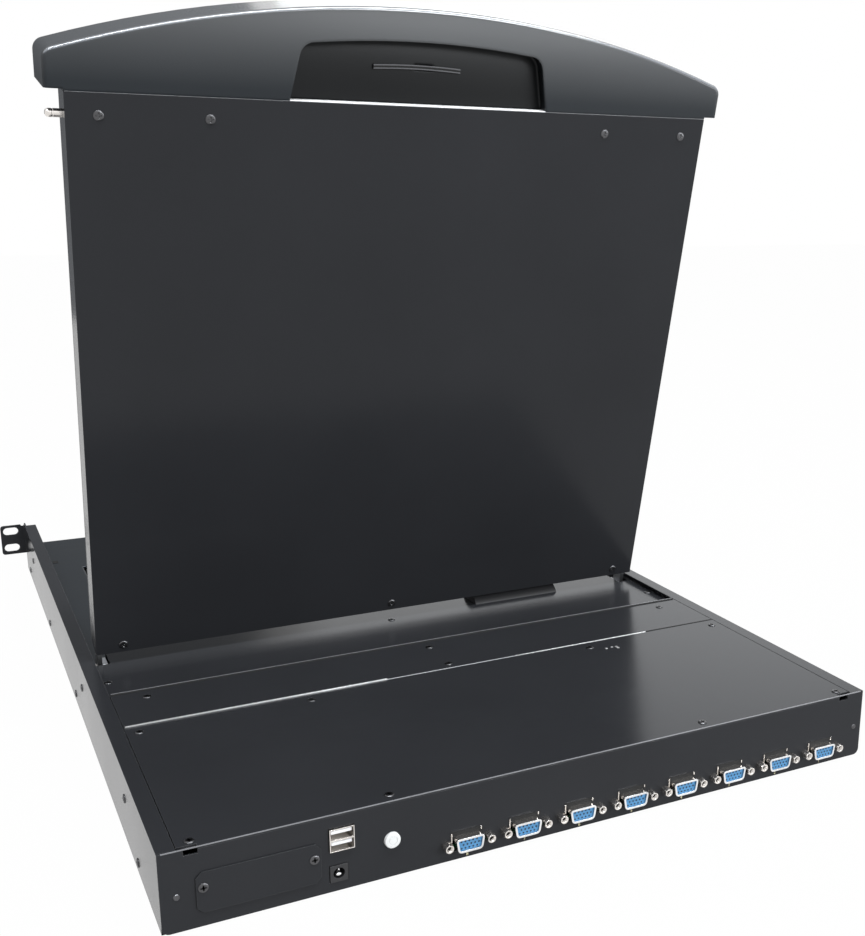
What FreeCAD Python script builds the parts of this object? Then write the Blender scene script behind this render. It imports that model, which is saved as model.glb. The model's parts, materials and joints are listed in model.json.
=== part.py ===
import FreeCAD, Part

import math
import os

import Sketcher
from FreeCAD import Placement, Rotation, Vector

# One-unit rackmount LCD console drawer.
# Millimetres. +X is the user's right, -Y is the user's side, +Z is up.
# The origin is the centre of the overall box's base with the screen raised.

doc = FreeCAD.newDocument("console_drawer")
sheet = doc.addObject("Spreadsheet::Sheet", "sizes")


class Size:
    """A number together with the spreadsheet formula that gives it."""

    def __init__(self, value, formula):
        self.value = value
        self.formula = formula

    def __float__(self):
        return float(self.value)

    def __add__(self, other):
        return Size(float(self) + float(other), f"({self.formula} + {text(other)})")

    def __radd__(self, other):
        return Size(float(other) + float(self), f"({text(other)} + {self.formula})")

    def __sub__(self, other):
        return Size(float(self) - float(other), f"({self.formula} - {text(other)})")

    def __rsub__(self, other):
        return Size(float(other) - float(self), f"({text(other)} - {self.formula})")

    def __mul__(self, other):
        return Size(float(self) * float(other), f"({self.formula} * {text(other)})")

    def __rmul__(self, other):
        return Size(float(other) * float(self), f"({text(other)} * {self.formula})")

    def __truediv__(self, other):
        return Size(float(self) / float(other), f"({self.formula} / {text(other)})")

    def __neg__(self):
        return Size(-float(self), f"(0 - {self.formula})")


def text(number):
    """The formula of a Size, or a plain number written out."""
    if isinstance(number, Size):
        return number.formula
    return f"({float(number):.9g})"


def size(alias, value, meaning):
    """Write one driving dimension into the sheet and return it."""
    row = size.next_row
    size.next_row = row + 1
    sheet.set(f"A{row}", meaning)
    sheet.set(f"B{row}", str(value))
    sheet.setAlias(f"B{row}", alias)
    return Size(value, f"sizes.{alias}")


size.next_row = 1

# ---------------------------------------------------------------- driving sizes

# Chassis, in the rack.
body_width = size("body_width", 440.9, "chassis, outside width between the side faces")
body_height = size("body_height", 44.0, "chassis, outside height of one rack unit")
body_depth = size("body_depth", 651.0, "from the rack ears' front face to the rear panel")
steel = size("steel", 1.2, "sheet of the chassis, the covers and the screen's back")
fold = size("fold", 9.3, "width of the side panel's top flange")
fold_relief = size("fold_relief", 10.0, "gap between the ear and the top flange")
rear_corner = size("rear_corner", 4.0, "radius of the rear panel's lower corners")
ear_relief = size("ear_relief", 1.5, "radius of the bend relief over an ear")
slide_screw_front = size("slide_screw_front", 72.4, "front slide screw behind the ears")
slide_screw_mid = size("slide_screw_mid", 264.9, "middle slide screw from the rear panel")
slide_screw_rear = size("slide_screw_rear", 96.8, "rear slide screw from the rear panel")
pan_screw_front = size("pan_screw_front", 29.5, "front base screw behind the ears")
pan_screw_second = size("pan_screw_second", 185.4, "second base screw behind the ears")
pan_screw_third = size("pan_screw_third", 307.7, "third base screw from the rear")
pan_screw_rear = size("pan_screw_rear", 62.8, "rear base screw from the rear panel")
pan_upstand = size("pan_upstand", 12.0, "height of the base pan's turned-up sides")
play = size("play", 0.3, "clearance between pieces that move past each other")
seam = size("seam", 0.5, "visible seam between two covers")

# Rack ears, on the 19-inch standard.
ear_width = size("ear_width", 20.85, "how far an ear reaches beyond the side face")
ear_thick = size("ear_thick", 1.6, "thickness of an ear")
ear_low = size("ear_low", 15.6, "lower edge of an ear above the base")
ear_high = size("ear_high", 43.2, "upper edge of an ear above the base")
ear_corner = size("ear_corner", 2.5, "corner radius of an ear")
slot_inset = size("slot_inset", 8.75, "middle of an ear slot in from the ear's edge")
slot_pitch = size("slot_pitch", 15.875, "height between the two slots of an ear")
slot_low = size("slot_low", 21.8, "lower slot's centre above the base")
slot_length = size("slot_length", 13.0, "length of an ear slot, end to end")
slot_width = size("slot_width", 7.0, "width of an ear slot")

# Rear: panel, cover, strip.
cover_depth = size("cover_depth", 150.5, "rear cover, front edge to the rear panel")
strip_depth = size("strip_depth", 52.0, "fixed strip in front of the rear cover")
strip_gap = size("strip_gap", 1.0, "open seam between the strip and the rear cover")
cover_notch = size("cover_notch", 10.2, "width cut off each rear corner of the cover")
notch_depth = size("notch_depth", 3.0, "length of the cover's rear corner cuts")
relief_drop = size("relief_drop", 2.4, "depth of the corner reliefs in the rear panel")
relief_width = size("relief_width", 7.0, "width of the corner reliefs in the rear panel")
skirt = size("skirt", 8.0, "height of the turned-down edges of the covers")
tongue_width = size("tongue_width", 93.0, "width of the cover's joggled tongue")
tongue_reach = size("tongue_reach", 12.5, "how far the tongue reaches under the strip")
beam_height = size("beam_height", 9.0, "depth of the cross beam under the strip")
beam_foot = size("beam_foot", 8.0, "how far the cross beam reaches under the cover")

# Screws.
screw_head = size("screw_head", 2.6, "radius of a pan head")
screw_rise = size("screw_rise", 0.7, "height of a pan head")
screw_shank = size("screw_shank", 1.4, "radius of a screw's shank")
screw_length = size("screw_length", 2.4, "length of a screw's shank")
screw_play = size("screw_play", 0.2, "radial clearance of a screw in its hole")
head_sides = 12
cover_screw_side = size("cover_screw_side", 16.95, "outer cover screws, in from the side face")
cover_screw_mid = size("cover_screw_mid", 100.0, "inner cover screws, from the centre line")
cover_screw_inset = size("cover_screw_inset", 6.6, "rear cover screws, in from the rear")
cover_screw_front = size("cover_screw_front", 9.5, "front cover screws, in from its edge")
strip_screw_side = size("strip_screw_side", 30.15, "outer strip screws, in from the side face")
strip_screw_inset = size("strip_screw_inset", 12.5, "strip screws, in from its front edge")

# Rear ports, centres measured along the panel.
port_standout = size("port_standout", 5.5, "how far the jack screws stand out of the panel")
vga_count = 8
vga_first_x = size("vga_first_x", 58.2, "centre of the first display port")
vga_pitch = size("vga_pitch", 35.11, "distance between display ports")
vga_z = size("vga_z", 10.2, "height of the display ports above the base")
vga_wide = size("vga_wide", 16.9, "display port shell, width of its long side")
vga_narrow = size("vga_narrow", 14.1, "display port shell, width of its short side")
vga_tall = size("vga_tall", 8.3, "display port shell, height")
vga_standout = size("vga_standout", 5.0, "display port shell, length outside the panel")
vga_wall = size("vga_wall", 0.5, "display port shell, wall")
vga_corner = size("vga_corner", 2.0, "display port shell, corner radius")
vga_sink = size("vga_sink", 0.9, "how far the insert sits inside its shell")
vga_window = size("vga_window", 0.9, "clearance of the panel window round the shell")
jack_spacing = size("jack_spacing", 24.99, "distance between a port's two jack screws")
jack_radius = size("jack_radius", 2.75, "jack screw, radius over its corners")
jack_bore = size("jack_bore", 1.35, "jack screw, radius of its thread")
jack_bore_depth = size("jack_bore_depth", 4.0, "jack screw, depth of its thread")
jack_post = size("jack_post", 1.5, "radius of the jack screw's stud through the panel")
usb_x = size("usb_x", 128.8, "centre of the stacked data ports")
usb_z = size("usb_z", 29.6, "height of the middle of the data ports")
usb_wide = size("usb_wide", 13.3, "data ports, outside width")
usb_tall = size("usb_tall", 12.8, "data ports, outside height of the stack")
usb_standout = size("usb_standout", 1.2, "data ports, length outside the panel")
usb_depth = size("usb_depth", 17.0, "data ports, overall length")
usb_wall = size("usb_wall", 0.45, "data ports, wall of the shell")
usb_tongue = size("usb_tongue", 1.7, "data ports, thickness of the tongue")
power_x = size("power_x", 130.8, "centre of the power jack")
power_z = size("power_z", 10.2, "height of the power jack")
power_wide = size("power_wide", 9.6, "power jack, width")
power_tall = size("power_tall", 9.4, "power jack, height")
power_bore = size("power_bore", 3.1, "power jack, radius of its bore")
power_pin = size("power_pin", 1.0, "power jack, radius of its centre pin")
power_depth = size("power_depth", 13.0, "power jack, length")
button_x = size("button_x", 101.4, "centre of the round rear button")
button_z = size("button_z", 21.6, "height of the round rear button")
button_radius = size("button_radius", 4.4, "radius of the round rear button")
button_standout = size("button_standout", 1.8, "how far the rear button stands out")
button_travel = size("button_travel", 1.0, "travel of the rear button")
button_length = size("button_length", 9.0, "overall length of the rear button")
blank_x = size("blank_x", 171.6, "centre of the blanking plate")
blank_z = size("blank_z", 18.9, "height of the middle of the blanking plate")
blank_wide = size("blank_wide", 63.0, "blanking plate, width")
blank_tall = size("blank_tall", 22.2, "blanking plate, height")
blank_thick = size("blank_thick", 0.8, "blanking plate, thickness")
blank_corner = size("blank_corner", 3.0, "blanking plate, cut of its corners")
blank_screw = size("blank_screw", 28.0, "blanking plate, screws from its middle")
blank_screw_rise = size("blank_screw_rise", 2.6, "blanking plate, screws above its middle")
blank_window = size("blank_window", 4.0, "how far the plate laps its window all round")
board_z = size("board_z", 3.6, "underside of the switch board")
board_thick = size("board_thick", 1.6, "thickness of every circuit board")
board_depth = size("board_depth", 118.0, "switch board, front to rear")
board_margin = size("board_margin", 3.0, "gap between the switch board and the rear panel")

# Slides.
keeper_reach = size("keeper_reach", 2.1, "how far the latch keeper stands in from the side")
keeper_rise = size("keeper_rise", 6.5, "half the height of the latch keeper")
slide_height = size("slide_height", 25.0, "height of a slide")
slide_z = size("slide_z", 27.0, "height of the middle of the slides")
slide_room = size("slide_room", 8.2, "width of the room for one slide")
slide_wall = size("slide_wall", 1.1, "metal of the slide members")
ball_room = size("ball_room", 2.0, "gap between slide members that holds the rollers")
roller_radius = size("roller_radius", 0.8, "radius of a roller over its corners")
roller_length = size("roller_length", 1.2, "length of a roller")
slide_setback = size("slide_setback", 12.0, "front end of the slides behind the ears")
outer_setback = size("outer_setback", 77.8, "rear end of the fixed slide member, from the panel")
inner_setback = size("inner_setback", 21.9, "rear end of the drawer's slide member, from its wall")
middle_short = size("middle_short", 7.0, "how much shorter the middle slide member is")
cage_length = size("cage_length", 190.0, "length of a ball cage")
cage_start = size("cage_start", 112.0, "front end of the cages behind the slide's front")
cage_strip = size("cage_strip", 0.6, "sheet of a ball cage")
cage_half = size("cage_half", 0.9, "half the width of a cage's roller strip")
roller_count = 7
roller_sides = 8

# Drawer tray.
tray_overhang = size("tray_overhang", 6.5, "how far the drawer stands in front of the ears")
tray_sheet = size("tray_sheet", 1.0, "sheet of the drawer tray")
tray_low = size("tray_low", 3.0, "underside of the tray above the base")
wall_height = size("wall_height", 38.8, "top of the tray's side walls above the base")
deck_sheet = size("deck_sheet", 1.2, "sheet of the deck behind the screen")
deck_front = size("deck_front", 12.5, "front edge of the deck ahead of the hinge")
deck_gap = size("deck_gap", 1.6, "open seam between the deck and the strip")
deck_screw_side = size("deck_screw_side", 13.05, "outer deck screws, in from the side face")
deck_screw_y = size("deck_screw_y", 45.6, "outer deck screws, behind the hinge")
deck_screw_mid = size("deck_screw_mid", 15.2, "middle deck screw, behind the hinge")
notch_side = size("notch_side", 19.65, "deck's notches for the hinge arms, in from the side face")
ledge_width = size("ledge_width", 12.0, "width of the tray's ledge under the deck")
front_step = size("front_step", 4.0, "length of the lowered front end of the tray walls")
tray_screw_step = size("tray_screw_step", 8.0, "half the distance of the tray's slide screws")
hatch_x = size("hatch_x", -106.5, "centre of the cable cover")
hatch_width = size("hatch_width", 71.0, "width of the cable cover")
hatch_radius = size("hatch_radius", 14.4, "radius of the cable cover about the hinge")
hatch_wall = size("hatch_wall", 1.6, "wall of the cable cover")

# Screen hinge.
hinge_back = size("hinge_back", 279.5, "hinge line in front of the rear panel")
hinge_z = size("hinge_z", 32.4, "hinge line above the base")
tilt = size("tilt", 12.3, "lean of the raised screen, in degrees past upright")
pin_radius = size("pin_radius", 3.0, "radius of the hinge pins")
pin_fit = size("pin_fit", 0.06, "radial clearance of the hinge arm on its pin")
lug_radius = size("lug_radius", 6.0, "radius of the hinge lugs")
arm_side = size("arm_side", 15.25, "inner face of a hinge arm, in from the side face")
arm_half = size("arm_half", 5.0, "half the width of a hinge arm")
pin_head = size("pin_head", 0.9, "thickness of a hinge pin's head")
arm_thick = size("arm_thick", 3.0, "thickness of a hinge arm")
bracket_thick = size("bracket_thick", 3.2, "thickness of a hinge bracket")
bracket_foot = size("bracket_foot", 14.0, "width of a hinge bracket's foot")
bracket_length = size("bracket_length", 36.0, "length of a hinge bracket's foot")
arm_grip = size("arm_grip", 46.0, "how far a hinge arm reaches into the screen")

# Screen.
lid_side = size("lid_side", 10.85, "side of the screen housing, in from the chassis side")
lid_length = size("lid_length", 361.0, "height of the screen's back, hinge edge to handle")
lid_reach = size("lid_reach", 18.5, "hinge edge of the screen from the hinge line")
lid_thick = size("lid_thick", 21.0, "thickness of the screen housing")
lid_back = size("lid_back", 11.0, "screen's back face from the hinge line")
frame_thick = size("frame_thick", 2.0, "thickness of the screen's front frame")
view_width = size("view_width", 337.9, "visible width of the display")
view_height = size("view_height", 270.3, "visible height of the display")
view_lap = size("view_lap", 1.5, "frame opening beyond the visible display")
panel_width = size("panel_width", 358.5, "display module, width")
panel_height = size("panel_height", 296.5, "display module, height")
panel_thick = size("panel_thick", 11.0, "display module, thickness")
glass_thick = size("glass_thick", 0.7, "display glass, thickness")
view_shift = size("view_shift", 4.0, "display's middle beyond the housing's middle")
scaler_width = size("scaler_width", 130.0, "display board, width")
scaler_depth = size("scaler_depth", 90.0, "display board, depth")
osd_count = 4
osd_x = size("osd_x", 96.0, "first screen button, from the centre line")
osd_pitch = size("osd_pitch", 16.0, "distance between the screen buttons")
osd_inset = size("osd_inset", 17.0, "screen buttons, in from the hinge edge")
osd_radius = size("osd_radius", 3.0, "radius of a screen button")
osd_rise = size("osd_rise", 0.5, "how far a screen button stands out")
osd_travel = size("osd_travel", 0.4, "travel of a screen button")
lid_screw_side = size("lid_screw_side", 17.6, "outer screws of the screen's back, in from its side")
lid_screw_mid = size("lid_screw_mid", 131.0, "inner screws of the screen's back")
lid_screw_top = size("lid_screw_top", 12.0, "screws in from the handle edge")
lid_screw_low = size("lid_screw_low", 5.5, "screws in from the hinge edge")
lid_screw_head = size("lid_screw_head", 2.9, "radius of the screw heads in the back")

# Handle along the screen's upper edge.
handle_side = size("handle_side", 0.95, "ends of the handle, in from the chassis side")
handle_gap = size("handle_gap", 0.3, "joint between the handle and the screen")
wing_gap = size("wing_gap", 1.3, "handle's wings beyond the screen's end")
handle_end = size("handle_end", 21.0, "height of the handle at its ends")
handle_mid = size("handle_mid", 56.0, "height of the handle at its middle")
handle_corner = size("handle_corner", 7.0, "corner radius of the handle's ends")
handle_thick = size("handle_thick", 42.0, "thickness of the handle, one rack unit closed")
handle_wall = size("handle_wall", 2.6, "wall of the handle moulding")
handle_round = size("handle_round", 2.4, "rounding of the handle's edges")
grip_half = size("grip_half", 85.0, "half the length of the finger recess")
grip_top = size("grip_top", 78.0, "half the length of the recess at its outer end")
grip_height = size("grip_height", 37.3, "height of the finger recess at its middle")
grip_side = size("grip_side", 32.5, "height of the finger recess at its sides")
grip_depth = size("grip_depth", 8.0, "depth of the finger recess")
grip_floor = size("grip_floor", 1.5, "wall under the finger recess")
grip_corner = size("grip_corner", 9.0, "corner radius of the finger recess")

# Latch in the screen's right edge, worked from the finger recess.
latch_u = size("latch_u", 348.0, "latch pin from the screen's hinge edge")
latch_radius = size("latch_radius", 2.4, "radius of the latch pin")
latch_standout = size("latch_standout", 9.2, "latch pin outside the screen's edge")
latch_travel = size("latch_travel", 9.0, "travel of the latch")
latch_tail = size("latch_tail", 23.0, "length of the latch pin inside the screen")
latch_collar = size("latch_collar", 3.9, "radius of the latch pin's collar")
latch_hole = size("latch_hole", 0.5, "clearance round the latch pin in the tray wall")
spring_wire = size("spring_wire", 0.3, "half the thickness of the latch spring's flat wire")
spring_radius = size("spring_radius", 3.3, "radius of the latch spring's coil")
spring_turns = 5
rod_end = size("rod_end", 3.0, "inner end of the latch rod, from the centre line")
catch_x = size("catch_x", 3.4, "middle of the release catch")
catch_post = size("catch_post", 3.0, "width of the release catch's post")
rod_width = size("rod_width", 7.0, "width of the latch rod")
rod_thick = size("rod_thick", 1.4, "thickness of the latch rod")
catch_length = size("catch_length", 57.0, "length of the release catch")
catch_width = size("catch_width", 2.6, "width of the release catch")
catch_u = size("catch_u", 22.2, "release catch from the screen's end")
catch_rise = size("catch_rise", 1.4, "how far the release catch stands out")

# Keyboard.
deck_top = size("deck_top", 21.5, "top of the keyboard housing above the base")
housing_wall = size("housing_wall", 2.5, "top wall of the keyboard housing")
housing_rear = size("housing_rear", 26.0, "rear edge of the housing ahead of the hinge")
key_pitch = size("key_pitch", 18.6, "distance between keys")
key_gap = size("key_gap", 1.6, "gap between keys at their foot")
key_taper = size("key_taper", 1.9, "slope of a key's sides, in from its foot")
key_tall = size("key_tall", 4.2, "height of a key")
key_top = size("key_top", 21.9, "top of the keys above the base")
key_travel = size("key_travel", 2.0, "travel of a key")
key_stem = size("key_stem", 5.0, "width of a key's stem")
stem_length = size("stem_length", 5.0, "length of a key's stem")
pad_gap = size("pad_gap", 7.44, "gap between the letters and the number pad")
well_margin = size("well_margin", 1.0, "gap between the keys and their well")
keys_front = size("keys_front", 96.0, "front edge of the keys from the drawer's front")
post_radius = size("post_radius", 3.5, "radius of the key plate's posts")
pad_flange = size("pad_flange", 3.0, "flange of the touch pad and its buttons")
plate_thick = size("plate_thick", 1.4, "thickness of the key plate")
touch_width = size("touch_width", 66.0, "touch pad, width")
touch_depth = size("touch_depth", 44.0, "touch pad, depth")
touch_front = size("touch_front", 36.0, "touch pad, front edge from the drawer's front")
touch_sink = size("touch_sink", 0.4, "touch pad below the housing")
click_depth = size("click_depth", 14.0, "touch pad buttons, depth")
click_gap = size("click_gap", 2.4, "touch pad buttons, in front of the pad")
click_travel = size("click_travel", 0.8, "travel of a touch pad button")
click_tall = size("click_tall", 5.0, "height of a touch pad button")

# ---------------------------------------------------------------- derived places

half_width = body_width / 2
inside = half_width - steel
flange_edge = half_width - fold
rear_y = (body_depth + tray_overhang - port_standout) / 2
ear_y = rear_y - body_depth
front_y = ear_y - tray_overhang
inner_rear = rear_y - steel
cover_front = rear_y - cover_depth
strip_rear = cover_front - strip_gap
strip_front = strip_rear - strip_depth
cover_half = flange_edge - seam
ear_edge = half_width + ear_width
under_cover = body_height - steel
tray_half = inside - slide_room
tray_rear = strip_front - deck_gap
hinge_y = rear_y - hinge_back
deck_level = wall_height + deck_sheet
lid_half = half_width - lid_side
handle_half = half_width - handle_side
arm_inner = half_width - arm_side
notch_x = half_width - notch_side
cover_screw_x = half_width - cover_screw_side
strip_screw_x = half_width - strip_screw_side
deck_screw_x = half_width - deck_screw_side
lid_screw_x = lid_half - lid_screw_side
lid_front = lid_back - lid_thick
lid_end = lid_reach + lid_length
slide_front = ear_y + slide_setback
outer_length = inner_rear - outer_setback - slide_front
inner_length = tray_rear - inner_setback - slide_front
middle_length = inner_length - middle_short
key_foot = key_top - key_tall

# ---------------------------------------------------------------- helpers

TURNS = {
    "X": Rotation(Vector(0, 1, 0), 90),
    "-X": Rotation(Vector(0, 1, 0), -90),
    "Y": Rotation(Vector(1, 0, 0), -90),
    "-Y": Rotation(Vector(1, 0, 0), 90),
    "Z": Rotation(),
}
AXES = ("x", "y", "z")
nodes = []


def bind(thing, place, number):
    """Set a property to a plain number, or tie it to the sheet."""
    if isinstance(number, Size):
        thing.setExpression(place, number.formula)
    else:
        thing.setExpression(place, text(number))


def move(thing, at):
    for axis, number in zip(AXES, at):
        bind(thing, f"Placement.Base.{axis}", number)
    return thing


def box(at, span):
    """A block from its lowest corner."""
    block = doc.addObject("Part::Box", "block")
    for side, number in zip(("Length", "Width", "Height"), span):
        bind(block, side, number)
    return move(block, at)


def slab(x_range, y_range, z_range):
    """A block between two values on each axis."""
    low = (x_range[0], y_range[0], z_range[0])
    high = (x_range[1], y_range[1], z_range[1])
    return box(low, [top - bottom for bottom, top in zip(low, high)])


def rod(at, radius, length, along="Z"):
    """A round bar that starts at a point and runs along an axis."""
    bar = doc.addObject("Part::Cylinder", "rod")
    bind(bar, "Radius", radius)
    bind(bar, "Height", length)
    bar.Placement = Placement(Vector(), TURNS[along])
    return move(bar, at)


def prism(at, radius, length, along="Z", sides=6):
    """A bar with flat sides, by its radius over the corners."""
    bar = doc.addObject("Part::Prism", "prism")
    bar.Polygon = sides
    bind(bar, "Circumradius", radius)
    bind(bar, "Height", length)
    bar.Placement = Placement(Vector(), TURNS[along])
    return move(bar, at)


def fuse(pieces):
    joined = doc.addObject("Part::MultiFuse", "fuse")
    joined.Shapes = pieces
    return joined


def cut(base, tools):
    """Take one piece or several away from a base."""
    if len(tools) > 1:
        tools = [fuse(tools)]
    rest = doc.addObject("Part::Cut", "cut")
    rest.Base = base
    rest.Tool = tools[0]
    return rest


def group(pieces):
    """Keep several solids apart in one object."""
    kept = doc.addObject("Part::Compound", "group")
    kept.Links = pieces
    return kept


def node(label, thing):
    """Name a finished sub-part, which is then written to its own file."""
    thing.Label = label
    nodes.append(thing)
    return thing


def mirrored(thing):
    """The same piece on the user's left."""
    other = doc.addObject("Part::Mirroring", "mirror")
    other.Source = thing
    other.Normal = Vector(1, 0, 0)
    return other


def new_body(name):
    return doc.addObject("PartDesign::Body", name)


def origin_plane(body, role):
    for feature in body.Origin.OriginFeatures:
        if feature.Role == role:
            return feature
    raise ValueError(role)


def sketch(body, role, offset=0.0):
    """An empty sketch on one of the body's own origin planes."""
    drawing = body.newObject("Sketcher::SketchObject", "sketch")
    drawing.AttachmentSupport = [(origin_plane(body, role), "")]
    drawing.MapMode = "FlatFace"
    bind(drawing, "AttachmentOffset.Base.z", offset)
    return drawing


def pin_down(drawing, curve, end, across, up):
    """Hold one end of a curve at a place given by two sizes."""
    for kind, number in (("DistanceX", across), ("DistanceY", up)):
        index = drawing.addConstraint(Sketcher.Constraint(kind, curve, end, float(number)))
        bind(drawing, f"Constraints[{index}]", number)


def outline(drawing, corners, bow=None):
    """A closed outline of straight lines; a bow rounds its first side outwards."""
    first = drawing.GeometryCount
    total = len(corners)
    for index in range(total):
        start = Vector(*map(float, corners[index]), 0)
        stop = Vector(*map(float, corners[(index + 1) % total]), 0)
        if index == 0 and bow:
            half = float(stop.x - start.x) / 2
            radius = (half * half + float(bow) * float(bow)) / (2 * float(bow))
            middle = Vector((start.x + stop.x) / 2, start.y + radius - float(bow), 0)
            reach = math.asin(half / radius)
            ring = Part.Circle(middle, Vector(0, 0, 1), radius)
            side = Part.ArcOfCircle(ring, -math.pi / 2 - reach, -math.pi / 2 + reach)
        else:
            side = Part.LineSegment(start, stop)
        drawing.addGeometry(side, False)
    if bow:
        half = (corners[1][0] - corners[0][0]) / 2
        radius = (half * half + bow * bow) / (bow * 2)
        index = drawing.addConstraint(Sketcher.Constraint("Radius", first, float(radius)))
        bind(drawing, f"Constraints[{index}]", radius)
    for index in range(total):
        following = first + (index + 1) % total
        joint = Sketcher.Constraint("Coincident", first + index, 2, following, 1)
        drawing.addConstraint(joint)
        pin_down(drawing, first + index, 1, *corners[index])


def rectangle(drawing, across, up):
    outline(drawing, [(across[0], up[0]), (across[1], up[0]),
                      (across[1], up[1]), (across[0], up[1])])


def circle(drawing, across, up, radius):
    ring = Part.Circle(Vector(float(across), float(up), 0), Vector(0, 0, 1), float(radius))
    curve = drawing.addGeometry(ring, False)
    pin_down(drawing, curve, 3, across, up)
    index = drawing.addConstraint(Sketcher.Constraint("Radius", curve, float(radius)))
    bind(drawing, f"Constraints[{index}]", radius)


def pad(body, drawing, length, backwards=False):
    feature = body.newObject("PartDesign::Pad", "pad")
    feature.Profile = drawing
    bind(feature, "Length", length)
    feature.Reversed = backwards
    drawing.Visibility = False
    body.Tip = feature
    return feature


def pocket(body, drawing, depth, backwards=False):
    feature = body.newObject("PartDesign::Pocket", "pocket")
    feature.Profile = drawing
    bind(feature, "Length", depth)
    feature.Reversed = backwards
    body.Tip = feature
    return feature


def drill(body, role, places, radius, depth=None):
    """Round holes through the body, square to one of its origin planes."""
    drawing = sketch(body, role)
    for across, up in places:
        circle(drawing, across, up, radius)
    return through(body, drawing)


def through(body, drawing):
    """Cut an outline through everything, both ways from its plane."""
    feature = body.newObject("PartDesign::Pocket", "opening")
    feature.Profile = drawing
    feature.Type = "ThroughAll"
    feature.Midplane = True
    body.Tip = feature
    return feature


def round_edges(body, radius, chosen):
    """Round the edges of the body that a test picks."""
    doc.recompute()
    tip = body.Tip
    names = [f"Edge{index + 1}" for index, edge in enumerate(tip.Shape.Edges) if chosen(edge)]
    feature = body.newObject("PartDesign::Fillet", "round")
    feature.Base = (tip, names)
    bind(feature, "Radius", radius)
    body.Tip = feature
    return feature


def runs_along(edge, axis):
    """True for a straight edge parallel to an axis."""
    if not isinstance(edge.Curve, Part.Line):
        return False
    return abs(edge.Curve.Direction.dot(axis)) > 0.999


def screws(places, along="Z", head=screw_head, rise=screw_rise):
    """Pan-head screws with few sides, each with its head on the point given."""
    back = {"Z": (0, 0, -1), "Y": (0, -1, 0), "X": (-1, 0, 0), "-X": (1, 0, 0),
            "-Y": (0, 1, 0)}[along]
    made = []
    for at in places:
        cap = prism(at, head, rise, along, head_sides)
        foot = [number + screw_length * step for number, step in zip(at, back)]
        shank = prism(foot, screw_shank, screw_length, along)
        made.append(fuse([cap, shank]))
    return made


def both_sides(places):
    """The places given, and the same with the first number turned over."""
    return [(side * place[0], *place[1:]) for side in (1, -1) for place in places]


screw_hole = screw_shank + screw_play

# ---------------------------------------------------------------- chassis


def side_panel(keeper):
    """Right side: web, top flange and ear, with the latch's keeper where asked."""
    body = new_body("side_panel")
    web = sketch(body, "XZ_Plane", -ear_y)
    rectangle(web, (inside, half_width), (0, body_height))
    pad(body, web, body_depth - steel, backwards=True)
    flange = sketch(body, "XZ_Plane", -ear_y - fold_relief)
    rectangle(flange, (flange_edge, inside + steel / 2), (under_cover, body_height))
    pad(body, flange, body_depth - steel - fold_relief, backwards=True)
    ear = sketch(body, "XZ_Plane", -ear_y)
    rectangle(ear, (inside, ear_edge), (ear_low, ear_high))
    pad(body, ear, ear_thick, backwards=True)
    openings = sketch(body, "XZ_Plane")
    slot(openings, ear_edge - slot_inset, slot_low)
    slot(openings, ear_edge - slot_inset, slot_low + slot_pitch)
    circle(openings, half_width + ear_relief + play / 3, ear_high, ear_relief)
    pocket(body, openings, play - ear_y, backwards=True)
    outer = float(ear_edge)
    round_edges(body, ear_corner, lambda edge: runs_along(edge, Vector(0, 1, 0))
                and abs(edge.CenterOfMass.x - outer) < 0.01)
    if keeper:
        lip = sketch(body, "XZ_Plane", -ear_y)
        middle = hinge_z + (lid_back + lid_front) / 2
        rectangle(lip, (inside - keeper_reach, inside + steel / 2),
                  (middle - keeper_rise, middle + keeper_rise))
        pad(body, lip, ear_thick, backwards=True)
    drill(body, "YZ_Plane", side_screw_places(), screw_hole)
    return body


def slot(drawing, across, up):
    """An obround hole lying across, by two arcs and two lines."""
    radius = slot_width / 2
    reach = (slot_length - slot_width) / 2
    middle = Vector(float(across), float(up), 0)
    step = Vector(float(reach), 0, 0)
    rise = Vector(0, float(radius), 0)
    around = Vector(0, 0, 1)
    right = drawing.addGeometry(Part.ArcOfCircle(
        Part.Circle(middle + step, around, float(radius)), -math.pi / 2, math.pi / 2), False)
    left = drawing.addGeometry(Part.ArcOfCircle(
        Part.Circle(middle - step, around, float(radius)), math.pi / 2, 3 * math.pi / 2), False)
    top = drawing.addGeometry(Part.LineSegment(middle + step + rise, middle - step + rise), False)
    low = drawing.addGeometry(Part.LineSegment(middle - step - rise, middle + step - rise), False)
    for one, end, other, start in ((right, 2, top, 1), (top, 2, left, 1),
                                   (left, 2, low, 1), (low, 2, right, 1)):
        drawing.addConstraint(Sketcher.Constraint("Tangent", one, end, other, start))
    pin_down(drawing, right, 3, across + reach, up)
    pin_down(drawing, left, 3, across - reach, up)
    index = drawing.addConstraint(Sketcher.Constraint("Radius", right, float(radius)))
    bind(drawing, f"Constraints[{index}]", radius)


def side_screw_places():
    """Screws seen on the side: one row for the slide, one for the base pan."""
    return slide_screw_places() + pan_screw_places()


def slide_screw_places():
    row = [ear_y + slide_screw_front, rear_y - slide_screw_mid, rear_y - slide_screw_rear]
    return [(along, slide_z) for along in row]


def pan_screw_places():
    row = [ear_y + pan_screw_front, ear_y + pan_screw_second, rear_y - pan_screw_third,
           rear_y - pan_screw_rear]
    return [(along, pan_upstand / 2) for along in row]


def base_pan():
    """Floor of the chassis with its sides turned up inside the side panels."""
    body = new_body("base_pan")
    profile = sketch(body, "XZ_Plane", -ear_y)
    inner = inside - steel
    outline(profile, [(-inside, 0), (inside, 0), (inside, pan_upstand), (inner, pan_upstand),
                      (inner, steel), (-inner, steel), (-inner, pan_upstand),
                      (-inside, pan_upstand)])
    pad(body, profile, body_depth - steel, backwards=True)
    drill(body, "YZ_Plane", pan_screw_places(), screw_hole)
    return body


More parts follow.
